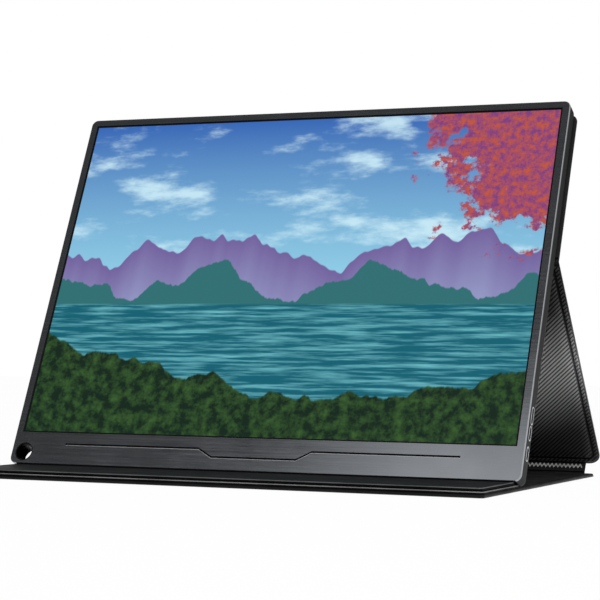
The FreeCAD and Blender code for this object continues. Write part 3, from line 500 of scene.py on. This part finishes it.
# Woven lining: the threads on top are painted lighter as a painted sheen and are smoother and coated, the others are
# matt, and the gaps are painted black as painted shade
# The light grey of the threads on top is a painted sheen, and the near black of the gaps is painted shade
twillLook = dict(
    pitch=0.85, dark=grey(0.006), light=grey(0.07), gap=grey(0.004), rough=0.45, smoother=0.12, gloss=0.05,
    coatOver=0.5, coatAll=0.02, coatRough=0.33, bump=0.5, bumpDepth=0.00025,
)


def coverTwill(name, origin, angle):
    look = twillLook
    material, tree, shader = newMaterial(name)
    weave = useGroup(tree, twillWeave, Vector=localMm(tree, origin, angle), Pitch=look["pitch"])
    # The threads on top take the lighter colour of a painted sheen
    sheenedThreads = blendColour(tree, weave["Over"], look["dark"], look["light"])
    dress(tree, shader, {
        "Base Color": blendColour(tree, sums(tree, "SUBTRACT", 1.0, weave["Gap"]), sheenedThreads, look["gap"]),
        "Roughness": sums(tree, "MULTIPLY_ADD", weave["Over"], -look["smoother"], look["rough"]),
        "Coat Weight": sums(tree, "MULTIPLY_ADD", weave["Over"], look["coatOver"], look["coatAll"]),
        "Specular IOR Level": look["gloss"],
        "Coat Roughness": look["coatRough"],
    })
    bumpInto(tree, shader, weave["Height"], look["bump"], look["bumpDepth"])
    return material


# Printed circuit: bricks of solder mask with paler tracks between them
boardLook = dict(
    scale=0.4, track=0.03, mask=(0.02, 0.12, 0.06, 1), copper=(0.05, 0.24, 0.12, 1), roughScale=0.8, rough=(0.3, 0.45),
)


def circuitBoard(name):
    look = boardLook
    material, tree, shader = newMaterial(name)
    local = monitorMm(tree)
    inputs = {"Vector": local, "Scale": look["scale"], "Mortar Size": look["track"]}
    brick = put(tree, "ShaderNodeTexBrick", inputs).outputs["Fac"]
    dress(tree, shader, {
        "Base Color": blendColour(tree, brick, look["mask"], look["copper"]),
        "Roughness": spread(tree, noise(tree, local, look["roughScale"]), *usual, *look["rough"]),
    })
    return material


# The lit picture: a made-up lake view in layers, each ridge a noise line along the screen's width. A line has scale,
# seed, middle, swing and detail, a grain has scale, detail and roughness, and a span is where a blend begins and ends
picture = dict(
    left=-193.7, right=193.7, low=25.2, high=292.2, border=1.3, corner=0.5, mask=grey(0.002),
    glow=1.0, glass=(0.004, 0.004, 0.005, 1), gloss=0.06, smearGrain=(0.02, 4.0), rough=(0.22, 0.30),
    skySpan=(0.48, 1.0), skyLow=(0.28, 0.62, 0.80, 1), skyHigh=(0.035, 0.13, 0.46, 1),
    puffStretch=(2.6, 4.6, 1), puffGrain=(1.6, 7.0, 0.58), puffSpan=(0.50, 0.66), puffDepth=0.85,
    cloud=(0.62, 0.86, 0.95, 1), lineRough=0.5, lineSoft=0.003,
    farLine=(4.2, 3.1, 0.58, 0.42, 4.0), farFade=0.22, farRidge=(0.17, 0.12, 0.34, 1), farFoot=(0.30, 0.32, 0.56, 1),
    midLine=(5.5, 11.7, 0.47, 0.26, 6.0), midRidge=(0.03, 0.16, 0.17, 1),
    rippleStretch=(5.0, 60.0, 1), rippleGrain=(1.4, 4.0, 0.6), rippleSpan=(0.45, 0.72), shoreSpan=(0.405, 0.398),
    lakeDeep=(0.006, 0.12, 0.17, 1), lakeShine=(0.16, 0.52, 0.58, 1),
    bankLine=(7.0, 5.0, 0.12, 0.16, 8.0), bankLowAt=0.62, bankPower=1.6, bankRise=0.42, bankSoft=0.004,
    tuftStretch=(46.0, 30.0, 1), tuftGrain=(1.0, 5.0, 0.65), tuftSpan=(0.42, 0.75),
    bankDark=(0.006, 0.020, 0.010, 1), bankLight=(0.05, 0.13, 0.03, 1),
    crownStretch=(1.45, 1, 1), crownAt=(1.47, 0.98, 0), sprayStretch=(15.0, 10.5, 1), sprayGrain=(1.0, 9.0, 0.68),
    sprayReach=0.75, spraySpan=(-0.02, 0.03), leafStretch=(70.0, 48.0, 1), leafGrain=(1.0, 6.0, 0.75),
    leafSpan=(0.40, 0.62), leafWarm=(0.55, 0.10, 0.03, 1), leafCool=(0.20, 0.05, 0.22, 1),
)


def litScreen(name):
    p = picture
    material, tree, shader = newMaterial(name)
    local = monitorMm(tree)
    parts = put(tree, "ShaderNodeSeparateXYZ", {0: local}).outputs
    u = spread(tree, parts[0], p["left"], p["right"])
    v = spread(tree, parts[1], p["low"], p["high"])
    flat = put(tree, "ShaderNodeCombineXYZ", {0: u, 1: v}).outputs[0]

    # A line's height: its middle, plus its swing times a noise about zero
    def ridge(scale, seed, middle, swing, detail):
        place = sums(tree, "MULTIPLY_ADD", u, scale, seed)
        inputs = {"W": place, "Scale": 1.0, "Detail": detail, "Roughness": p["lineRough"]}
        line = put(tree, "ShaderNodeTexNoise", inputs, noise_dimensions="1D").outputs[0]
        return sums(tree, "MULTIPLY_ADD", sums(tree, "SUBTRACT", line, 0.5), swing, middle)

    # 1 below a line and 0 above it, softened by a little height
    def under(line, soft):
        return spread(tree, sums(tree, "SUBTRACT", line, v), -soft, soft, 0, 1, "SMOOTHSTEP")

    # Noise over the picture, stretched in width and height
    def pattern(label):
        return noise(tree, stretched(tree, flat, p[label + "Stretch"]), *p[label + "Grain"])

    sky = blendColour(tree, spread(tree, v, *p["skySpan"]), p["skyLow"], p["skyHigh"])
    puffs = spread(tree, pattern("puff"), *p["puffSpan"], 0, p["puffDepth"], "SMOOTHSTEP")
    sky = blendColour(tree, puffs, sky, p["cloud"])
    farLine = ridge(*p["farLine"])
    belowFar = spread(tree, sums(tree, "SUBTRACT", farLine, v), 0.0, p["farFade"])
    scene = blendColour(
        tree, under(farLine, p["lineSoft"]), sky, blendColour(tree, belowFar, p["farRidge"], p["farFoot"]),
    )
    scene = blendColour(tree, under(ridge(*p["midLine"]), p["lineSoft"]), scene, p["midRidge"])
    lake = blendColour(tree, spread(tree, pattern("ripple"), *p["rippleSpan"]), p["lakeDeep"], p["lakeShine"])
    scene = blendColour(tree, spread(tree, v, *p["shoreSpan"]), scene, lake)
    fromLow = sums(tree, "ABSOLUTE", sums(tree, "SUBTRACT", u, p["bankLowAt"]))
    bankCurve = sums(tree, "POWER", fromLow, p["bankPower"])
    bankLine = sums(tree, "MULTIPLY_ADD", bankCurve, p["bankRise"], ridge(*p["bankLine"]))
    bank = blendColour(tree, spread(tree, pattern("tuft"), *p["tuftSpan"]), p["bankDark"], p["bankLight"])
    scene = blendColour(tree, under(bankLine, p["bankSoft"]), scene, bank)
    crown = vectors(tree, "DISTANCE", stretched(tree, flat, p["crownStretch"]), p["crownAt"])["Value"]
    nearCrown = sums(tree, "MULTIPLY_ADD", pattern("spray"), p["sprayReach"], sums(tree, "MULTIPLY", crown, -1.0))
    leaves = blendColour(tree, spread(tree, pattern("leaf"), *p["leafSpan"]), p["leafCool"], p["leafWarm"])
    scene = blendColour(tree, spread(tree, nearCrown, *p["spraySpan"], 0, 1, "SMOOTHSTEP"), scene, leaves)
    halfWide = (p["right"] - p["left"]) / 2 - p["border"]
    halfHigh = (p["high"] - p["low"]) / 2 - p["border"]
    distance = useGroup(
        tree, plateDistance, Vector=local, Radius=p["corner"],
        Half=(halfWide, halfHigh, 0), Centre=(0, (p["low"] + p["high"]) / 2, 0),
    )["Distance"]
    dress(tree, shader, {
        "Emission Color": blendColour(tree, sums(tree, "GREATER_THAN", distance, 0.0), scene, p["mask"]),
        "Emission Strength": p["glow"],
        "Base Color": p["glass"],
        "Specular IOR Level": p["gloss"],
        "Roughness": spread(tree, noise(tree, local, *p["smearGrain"]), *usual, *p["rough"]),
    })
    return material


frameMetal = brushedMetal("frameMetal", grey(0.32, (0.94, 0.99, 1.07)), 0.11, edgeColour=grey(0.36, (0.96, 0.99, 1.04)))
shellMetal = brushedMetal("shellMetal", grey(0.06, (0.97, 0.99, 1.03)), 0.36, grazing=0.5)
keyMetal = brushedMetal("keyMetal", grey(0.10, (0.95, 0.98, 1.06)), 0.3, fineness=9.0)
eyeletMetal = plainMetal("eyeletMetal", (0.03, 0.03, 0.033), 0.35)
# Pale metal that paints the highlight on the lower edge of the chin's groove
lipHighlightMetal = brushedMetal("lipHighlightMetal", grey(0.6, (0.96, 0.99, 1.04)), 0.25)
socketMetal = plainMetal("socketMetal", (0.25, 0.255, 0.265), 0.3)
rimMetal = plainMetal("rimMetal", (0.78, 0.79, 0.81), 0.55)
steelMetal = plainMetal("steelMetal", (0.5, 0.5, 0.51), 0.35)
brassMetal = plainMetal("brassMetal", (0.6, 0.44, 0.18), 0.3)
blackPlastic = mouldedPlastic("blackPlastic", (0.012, 0.012, 0.013), 0.5)
whitePlastic = mouldedPlastic("whitePlastic", (0.8, 0.82, 0.84), 0.3)
amberRibbon = mouldedPlastic("amberRibbon", (0.35, 0.18, 0.05), 0.35)
greyBoard = mouldedPlastic("greyBoard", (0.3, 0.28, 0.25), 0.9, grainScale=2.0)
# Near black that paints the shade inside the chin's groove
grooveShadeBlack = mouldedPlastic("grooveShadeBlack", (0.004, 0.004, 0.004), 0.6, gloss=0.04)
circuitGreen = circuitBoard("circuitGreen")
screenLit = litScreen("screenLit")
skinBlack = coverSkin("skinBlack", (0.006, 0.006, 0.007), 0.5, gloss=0.1)
outerSkin = coverSkin("outerSkin", (0.014, 0.014, 0.015), 0.42, gloss=0.35)
# A darker copy of the cover's black for sides and wells: painted shade
shadedSideBlack = coverSkin("shadedSideBlack", (0.003, 0.003, 0.003), 0.6, gloss=0.03)
padBlack = coverSkin("padBlack", (0.012, 0.012, 0.013), 0.5, gloss=0.08)
# Pale greys that paint the highlight on the rounded top edge of each rest layer
padEdgeHighlight = coverSkin("padEdgeHighlight", (0.10, 0.10, 0.103), 0.5, gloss=0.1)
ledgeEdgeHighlight = coverSkin("ledgeEdgeHighlight", (0.19, 0.19, 0.195), 0.5, gloss=0.1)
stitchThread = coverSkin("stitchThread", (0.62, 0.62, 0.61), 0.7, size=0.5)
legTwill = coverTwill("legTwill", legOrigin, stand["leg"])
baseLining = coverSkin("baseLining", (0.018, 0.018, 0.019), 0.6, size=0.6, gloss=0.05)
print("materials made")

nodeFinish = {
    "front_frame": frameMetal, "rear_shell": shellMetal, "screen_glass": screenLit, "lcd_panel": blackPlastic,
    "optical_films": whitePlastic, "light_guide": whitePlastic, "lamp_strip": circuitGreen,
    "backlight_tray": steelMetal, "main_board": circuitGreen, "key_board": circuitGreen,
    "driver_board": circuitGreen, "board_screws": steelMetal, "panel_cable": amberRibbon,
    "hdmi_socket": socketMetal, "usb_c_socket_upper": socketMetal, "usb_c_socket_lower": socketMetal,
    "audio_jack": blackPlastic, "power_button": keyMetal, "menu_rocker": keyMetal, "rocker_pin": steelMetal,
    "key_switches": blackPlastic, "speaker_left": blackPlastic, "speaker_right": blackPlastic,
    "mount_inserts": brassMetal, "corner_eyelet": eyeletMetal, "shell_magnets": steelMetal,
    "cover_plates": steelMetal, "top_board": greyBoard, "leg_board": greyBoard, "spine_board": greyBoard,
    "base_board": greyBoard,
}
for nodeName, finish in nodeFinish.items():
    mesh = frame["nodes"][nodeName].data
    mesh.materials.clear()
    mesh.materials.append(finish)

# Folio panels: a thin skin sheet under a raised, hemmed slab with soft edges
panelLook = dict(
    skin=0.9, skinRound=0.45, edge=0.9, edgeShare=0.6, rim=0.6, shortRim=1.2, seat=0.5, seatInset=0.25, seatRise=0.3,
    hemInset=4.2, hemFlat=0.36, hemFlank=0.96, hemDepth=0.35, capInset=12.0, capShare=0.45, foldGap=0.12, sharp=50,
)


# One panel: its size is half width, low end and high end, and the setbacks bring the slab in from both ends. A cap
# ring stays inside a short panel, never further in than a share of its length
def makePanel(name, body, origin, angle, size, thick, setbacks, corners, lining, nodes, hem=True):
    look = panelLook
    half, low, high = size
    skin, gap = look["skin"], look["foldGap"]
    thin = skin * look["skinRound"]
    sheetCap = min(look["capInset"], look["capShare"] * (high - low))
    sheetProfile = [(sheetCap, 0.0)] + roundStep(thin, thin, thin, -90)
    sheetProfile += roundStep(thin, thin, skin - thin, 0) + [(sheetCap, skin)]
    sheet, sheetFaces, _, _ = slab(half, low + gap, high - gap, corners, sheetProfile)
    slabCap = min(look["capInset"], look["capShare"] * (high - low - setbacks[0] - setbacks[1]))
    edge = min(look["edge"], (thick - skin) * look["edgeShare"])
    seat = skin * look["seat"]
    slabProfile = [(slabCap, seat), (look["seatInset"], seat), (0.0, seat + look["seatRise"])]
    slabProfile += roundStep(edge, edge, thick - edge, 0) + [(edge + look["rim"], thick)]
    # The lining starts at the last step of the rounded edge, and the hem's groove takes three bands out of it
    liningFrom = len(slabProfile) - 3
    grooveFrom = grooveTo = len(slabProfile)
    if hem:
        slabProfile += grooveSteps(thick, look["hemInset"], look["hemFlat"], look["hemFlank"], look["hemDepth"])
        grooveTo += 3
    slabProfile += [(slabCap if hem else min(edge + look["shortRim"], slabCap), thick)]
    upper, upperFaces, rings, count = slab(
        half, low + setbacks[0], high - setbacks[1], corners, slabProfile, first=len(sheet),
    )
    band = np.arange(rings - 1)
    lined = (band >= liningFrom) & ~((band >= grooveFrom) & (band < grooveTo))
    marks = [2] * len(sheetFaces) + np.repeat(lined.astype(int), count).tolist() + [0, 1]
    piece = makePiece(
        name, toRow(np.concatenate([sheet, upper]), origin, angle), sheetFaces + upperFaces,
        [skinBlack, lining, outerSkin], look["sharp"], marks,
    )
    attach(piece, body)
    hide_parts(*nodes)


coverHalf = stand["coverHalf"]
frontHalf = coverHalf - stand["baseInset"]
spineHalf = coverHalf - stand["spineInset"]
panels = (
    dict(
        name="basePanel", body="base", origin=(0, 0, 0), angle=0.0, size=(frontHalf, -baseHalf, baseHalf), thick=2.4,
        setbacks=(0.0, 1.8), corners=(3.0, 3.0), lining=baseLining, nodes=["base_skin", "base_lining"],
    ),
    dict(
        name="spinePanel", body="spine", origin=spineOrigin, angle=stand["spine"], size=(spineHalf, 0.0, 8.8),
        thick=2.5, setbacks=(1.8, 3.2), corners=(0.4, 0.4), lining=baseLining,
        nodes=["spine_skin", "spine_lining"], hem=False,
    ),
    dict(
        name="legPanel", body="leg", origin=legOrigin, angle=stand["leg"], size=(coverHalf, 0.0, legLength), thick=2.8,
        setbacks=(3.2, 1.5), corners=(10.0, 0.3), lining=legTwill, nodes=["leg_skin", "leg_lining"],
    ),
    dict(
        name="topPanel", body="monitor", origin=topOrigin, angle=stand["lean"], size=(coverHalf, 0.0, 119.9), thick=3.2,
        setbacks=(1.5, 0.0), corners=(0.3, 4.5), lining=baseLining, nodes=["top_skin", "top_lining"],
    ),
)
for panel in panels:
    makePanel(**panel)

# Rest layers on the base: each a slab whose rounded top edge is painted pale as a painted highlight and whose foot and
# sides are painted darker as painted shade, its rear face sloped like the monitor's lower wall
restLook = dict(
    corner=3.0, rearCorner=0.4, edge=0.6, footRound=0.2, capInset=10.0,
    seam=4.6, seamFlat=0.3, seamFlank=0.9, seamDepth=0.22, sharp=50,
)
# Each layer's rub finish is the pale colour of a painted highlight on its top edge
restLayers = (
    dict(name="restLedge", node="rest_ledge", inset=0.2, bottom=2.4, thick=1.8, rub=ledgeEdgeHighlight),
    dict(name="restPad", node="rest_pad", inset=1.8, bottom=4.2, thick=2.4, rub=padEdgeHighlight),
)
wallRise = math.tan(math.radians(90 - stand["lean"]))
for layer in restLayers:
    bottom, top = layer["bottom"], layer["bottom"] + layer["thick"]
    cap, edge, footRound = restLook["capInset"], restLook["edge"], restLook["footRound"]
    layerProfile = [(cap, bottom), (footRound, bottom), (0.0, bottom + footRound)]
    paleFrom = len(layerProfile)
    layerProfile += roundStep(edge, edge, top - edge, 0)
    paleTo = len(layerProfile) - 1
    layerProfile += grooveSteps(
        top, restLook["seam"], restLook["seamFlat"], restLook["seamFlank"], restLook["seamDepth"],
    )
    layerProfile += [(cap, top)]
    rear = float(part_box(layer["node"])[1].y) / mm
    points, faces, rings, count = slab(
        frontHalf - layer["inset"], -baseHalf + layer["inset"], rear, (restLook["corner"], restLook["rearCorner"]),
        layerProfile, rearShift=lambda height: -(height - bottom) / wallRise,
    )
    band = np.arange(rings - 1)
    # Foot and side bands take the darker black of painted shade, and the rounded top edge takes the pale of a painted
    # highlight
    shades = np.where(band < paleFrom, 2, np.where(band < paleTo, 1, 0))
    piece = makePiece(
        layer["name"], toRow(points, (0, 0, 0), 0.0), faces, [padBlack, layer["rub"], shadedSideBlack],
        restLook["sharp"], np.repeat(shades, count).tolist() + [2, 0],
    )
    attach(piece, "base")
    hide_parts(layer["node"])

# Fold strips: the skin bent round its hinge, a tube sector with closed ends
foldLook = dict(turnSteps=15, acrossSteps=33, upperInset=0.1, sharp=40)


# One strip: outer and inner arc make the section, which runs across the width. The bodies argument is not used
def makeFold(name, axis, startTurn, sweep, half, bodies, node):
    turn = np.radians(np.linspace(startTurn, startTurn + sweep, foldLook["turnSteps"]))
    arc = np.stack([np.cos(turn), np.sin(turn)], -1)
    section = np.concatenate([arc * stand["skinOuter"], arc[::-1] * stand["skinInner"]])
    across = np.linspace(-half, half, foldLook["acrossSteps"])
    points = np.zeros((len(across), len(section), 3))
    points[:, :, 0] = across[:, None]
    points[:, :, 1:] = section[None]
    faces = tubeFaces(len(across), len(section))
    piece = makePiece(name, axis + points.reshape(-1, 3) * mm, faces, [outerSkin], foldLook["sharp"])
    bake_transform(piece)
    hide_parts(node)


folds = (
    dict(
        name="rearFold", axis=rearAxis, startTurn=-90, sweep=stand["spine"], half=spineHalf,
        bodies=("base", "spine", 0), node="rear_fold",
    ),
    dict(
        name="footFold", axis=footAxis, startTurn=stand["spine"] - 90, sweep=stand["leg"] - stand["spine"],
        half=spineHalf, bodies=("spine", "leg", 0), node="foot_fold",
    ),
    dict(
        name="upperFold", axis=topAxis, startTurn=stand["lean"] + 90, sweep=stand["leg"] - stand["lean"],
        half=coverHalf - foldLook["upperInset"], bodies=("leg", "monitor", 1), node="upper_fold",
    ),
)
for fold in folds:
    makeFold(**fold)

# Zigzag edge of the spine's lining: a flat thread that swings between two heights, once in each pitch
zigzag = dict(pitch=3.2, low=5.2, high=7.8, thread=0.75, bottom=2.42, top=2.7, endGap=1.2, sharp=30)
swings = int(2 * (spineHalf - zigzag["endGap"]) / zigzag["pitch"]) * 2
zigX = (np.arange(swings + 1) - swings / 2) * zigzag["pitch"] / 2
zigY = np.where(np.arange(swings + 1) % 2 == 0, zigzag["low"], zigzag["high"])
zigPoints = np.zeros((swings + 1, 4, 3))
zigPoints[:, :, 0] = zigX[:, None]
zigPoints[:, :, 1] = zigY[:, None] + np.array([-1, 1, 1, -1]) * zigzag["thread"]
zigPoints[:, :, 2] = np.array([zigzag["bottom"], zigzag["bottom"], zigzag["top"], zigzag["top"]])
spineZigzag = makePiece(
    "spineZigzag", toRow(zigPoints, spineOrigin, stand["spine"]), tubeFaces(swings + 1, 4),
    [stitchThread], zigzag["sharp"],
)
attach(spineZigzag, "spine")
print("folio made")

# The chin's line: a black inlay below the metal's face, which is painted shade in the groove, and a pale lip along the
# line's lower edge, which is a painted highlight
chinLine = dict(
    top=16.9, width=1.4, half=154.6, dipTop=44.4, dipFoot=33.1, dip=6.3, sunk=0.35, floor=0.8, play=0.03, bed=0.02,
    lip=0.45, lipGap=0.01, lipProud=0.03, lipDeep=0.3, sharp=20,
)
lineEnds = np.array([chinLine["half"], chinLine["dipTop"], chinLine["dipFoot"]])
lineX = np.concatenate([-lineEnds, lineEnds[::-1]])
lineY = chinLine["top"] - np.array([0, 0, chinLine["dip"], chinLine["dip"], 0, 0])


# A flat bar carried along the line, between two heights from the line's top and two depths from the front
def chinBar(name, high, low, face, floor, finish):
    barPoints = np.zeros((len(lineX), 4, 3))
    barPoints[:, :, 0] = lineX[:, None]
    barPoints[:, :, 1] = lineY[:, None] + np.array([high, high, low, low])
    barPoints[:, :, 2] = np.array([floor, face, face, floor])
    barFaces = tubeFaces(len(lineX), 4)
    bar = makePiece(name, toRow(barPoints, foot, stand["lean"]), barFaces, [finish], chinLine["sharp"])
    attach(bar, "monitor")


# The inlay's black is painted shade, laid into the groove
chinBar(
    "chinShadeInlay", high=-chinLine["play"], low=-chinLine["width"] + chinLine["play"], face=-chinLine["sunk"],
    floor=-chinLine["floor"] + chinLine["bed"], finish=grooveShadeBlack,
)
# The lip is a painted highlight: a pale metal strip along the groove's lower edge
chinBar(
    "chinLipHighlight", high=-chinLine["width"] - chinLine["lipGap"], low=-chinLine["width"] - chinLine["lip"],
    face=chinLine["lipProud"], floor=-chinLine["lipDeep"], finish=lipHighlightMetal,
)

# Port rims: a bevelled ring round each opening, its section carried round a slot outline. Places are height up the
# side and length of each opening
portLook = dict(
    level=-7.9, tall=4.2, out=0.4, into=0.35, lip=0.12, proud=0.04, deep=0.55, well=1.6, bevel=0.05, bevelDeep=0.1,
    places=((50.7, 12.2), (37.7, 9.9), (22.7, 9.9)), arcSteps=13, metalBands=3, sharp=30,
)


# A slot outline: two half circles, moved apart by the length less the height and grown by a margin
def slotRing(place, length, grow):
    radius = portLook["tall"] / 2 + grow
    run = (length - portLook["tall"]) / 2
    turn = np.linspace(-np.pi / 2, np.pi / 2, portLook["arcSteps"])
    y = np.concatenate([run + radius * np.cos(turn), -run - radius * np.cos(turn)])
    z = np.concatenate([radius * np.sin(turn), -radius * np.sin(turn)])
    return np.stack([place + y, portLook["level"] + z], -1)


outer, inner = portLook["out"] + portLook["lip"], -portLook["into"]
# Steps of margin and depth: up the outside, over the bevelled face and down the well. The last joins the first
rimSteps = (
    (outer, -portLook["deep"]), (outer, portLook["proud"] / 2), (portLook["out"], portLook["proud"]),
    (inner + portLook["bevel"], portLook["proud"]), (inner, -portLook["bevelDeep"]), (inner, -portLook["well"]),
    (outer, -portLook["deep"]),
)
ringCount, pointCount = len(rimSteps), 2 * portLook["arcSteps"]
rimPoints, rimFaces, rimMarks = [], [], []
for place, length in portLook["places"]:
    rimFaces += ringFaces(ringCount, pointCount, len(rimPoints) * pointCount)
    for grow, depth in rimSteps:
        wallX = np.full(pointCount, monitor["width"] / 2 + depth)
        rimPoints.append(np.column_stack([wallX, slotRing(place, length, grow)]))
    # Bands past the metal ones (the inner bevel, the well and the ring's floor) take the black of painted shade
    rimMarks += [0] * pointCount * portLook["metalBands"]
    rimMarks += [1] * pointCount * (ringCount - 1 - portLook["metalBands"])
portRims = makePiece(
    "portRims", toRow(np.concatenate(rimPoints), foot, stand["lean"]), rimFaces, [rimMetal, shadedSideBlack],
    portLook["sharp"], rimMarks,
)
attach(portRims, "monitor")
print("trim made")

# Stage: a pale floor just under the table's level, the world and the lamps
stageLook = dict(reach=6.0, drop=0.0003, paint=0.82, shown=0.97, ambient=0.55)


# 1 for rays that show the stage: camera, glossy and transmission rays
def shownRays(tree, rays):
    seenThrough = sums(tree, "MAXIMUM", rays["Is Glossy Ray"], rays["Is Transmission Ray"])
    return sums(tree, "MAXIMUM", rays["Is Camera Ray"], seenThrough)


floorMesh = bpy.data.meshes.new("floorPlane")
reach, drop = stageLook["reach"], -stageLook["drop"]
floorMesh.from_pydata(
    [(-reach, -reach, drop), (reach, -reach, drop), (reach, reach, drop), (-reach, reach, drop)], [], [(0, 1, 2, 3)],
)
floorPiece = bpy.data.objects.new("floorPlane", floorMesh)
bpy.context.scene.collection.objects.link(floorPiece)
floorPale = bpy.data.materials.new("floorPale")
floorPale.use_nodes = True
floorTree = floorPale.node_tree
floorTree.nodes.clear()
floorShown = shownRays(floorTree, put(floorTree, "ShaderNodeLightPath").outputs)
white = put(floorTree, "ShaderNodeEmission", {"Color": grey(1), "Strength": 1.0}).outputs[0]
paint = put(floorTree, "ShaderNodeBsdfDiffuse", {"Color": grey(stageLook["paint"])}).outputs[0]
floorShare = sums(floorTree, "MULTIPLY", floorShown, stageLook["shown"])
floorMix = put(floorTree, "ShaderNodeMixShader", {0: floorShare, 1: paint, 2: white}).outputs[0]
put(floorTree, "ShaderNodeOutputMaterial", {"Surface": floorMix})
floorMesh.materials.append(floorPale)

world = bpy.data.worlds.new("studio")
bpy.context.scene.world = world
world.use_nodes = True
worldTree = world.node_tree
worldTree.nodes.clear()
rays = put(worldTree, "ShaderNodeLightPath").outputs
lightLevel = spread(worldTree, shownRays(worldTree, rays), 0.0, 1.0, stageLook["ambient"], 1.0)
# Dark flags that only glossy rays meet: one in front, beyond a slanted left edge and a level top edge, and one behind
flags = dict(
    edge=(-0.371, 0.647), slope=(-0.7, 0.714), soft=0.03, top=0.690, topSoft=0.02, deep=0.9,
    backFrom=0.35, backTo=0.7, backDeep=0.6,
)
direction = put(worldTree, "ShaderNodeTexCoord").outputs["Generated"]
facing = put(worldTree, "ShaderNodeSeparateXYZ", {0: direction}).outputs
sideways = sums(worldTree, "MULTIPLY", sums(worldTree, "SUBTRACT", facing[0], flags["edge"][0]), flags["slope"][0])
upwards = sums(worldTree, "MULTIPLY", sums(worldTree, "SUBTRACT", facing[2], flags["edge"][1]), flags["slope"][1])
fromEdge = sums(worldTree, "ADD", sideways, upwards)
leftFlag = spread(worldTree, fromEdge, -flags["soft"], flags["soft"], 0, flags["deep"], "SMOOTHSTEP")
fromTop = sums(worldTree, "SUBTRACT", facing[2], flags["top"])
topFlag = spread(worldTree, fromTop, -flags["topSoft"], flags["topSoft"], 0, flags["deep"], "SMOOTHSTEP")
inFront = sums(worldTree, "LESS_THAN", facing[1], 0.0)
frontFlag = sums(worldTree, "MULTIPLY", sums(worldTree, "MAXIMUM", leftFlag, topFlag), inFront)
backFlag = spread(worldTree, facing[1], flags["backFrom"], flags["backTo"], 0, flags["backDeep"], "SMOOTHSTEP")
flagged = sums(worldTree, "MULTIPLY", rays["Is Glossy Ray"], sums(worldTree, "MAXIMUM", frontFlag, backFlag))
lightLevel = sums(worldTree, "MULTIPLY", lightLevel, sums(worldTree, "SUBTRACT", 1.0, flagged))
sky = put(worldTree, "ShaderNodeBackground", {"Color": grey(1), "Strength": lightLevel}).outputs[0]
put(worldTree, "ShaderNodeOutputWorld", {"Surface": sky})

# Lamps: a wide key from the right in front, and a narrow beam low on the right for the leg's lining
lamps = (
    dict(name="keyLamp", place=(0.95, -1.20, 1.30), target=(0.1, 0.0, 0.1), size=0.9, power=15.0, fan=180.0),
    dict(name="legLamp", place=(1.25, -0.60, 0.12), target=(0.19, 0.083, 0.087), size=0.03, power=0.095, fan=4.4),
)
for lamp in lamps:
    lampData = bpy.data.lights.new(lamp["name"], "AREA")
    lampData.shape = "RECTANGLE"
    lampData.size = lampData.size_y = lamp["size"]
    lampData.energy = lamp["power"]
    lampData.spread = math.radians(lamp["fan"])
    lampObject = bpy.data.objects.new(lamp["name"], lampData)
    bpy.context.scene.collection.objects.link(lampObject)
    lampObject.location = lamp["place"]
    aim = Vector(lamp["target"]) - Vector(lamp["place"])
    lampObject.rotation_euler = aim.to_track_quat("-Z", "Y").to_euler()

# Camera: fitted to the front's four corners in the photo, and placed from the lower left one
view = dict(
    right=(0.9203, 0.3911, 0.0120), up=(0.0009, -0.0328, 0.9995), forward=(-0.3913, 0.9198, 0.0306),
    fromCorner=(0.77520, -1.26750, 0.07985), lens=117.1, sensor=36.0, reach=50.0,
)
cameraData = bpy.data.cameras.new("camera")
cameraData.sensor_width = view["sensor"]
cameraData.lens = view["lens"]
cameraData.clip_end = view["reach"]
camera = bpy.data.objects.new("camera", cameraData)
bpy.context.scene.collection.objects.link(camera)
corner = foot + np.array([-monitor["width"] / 2 * mm, 0, 0])
cameraPlace = Matrix.Translation(Vector(corner + np.array(view["fromCorner"])))
turn = Matrix((view["right"], view["up"], tuple(-v for v in view["forward"]))).transposed()
camera.matrix_world = cameraPlace @ turn.to_quaternion().to_matrix().to_4x4()
bpy.context.scene.camera = camera
bpy.context.scene.view_settings.view_transform = "Standard"
bpy.context.view_layer.update()
print("stage made")
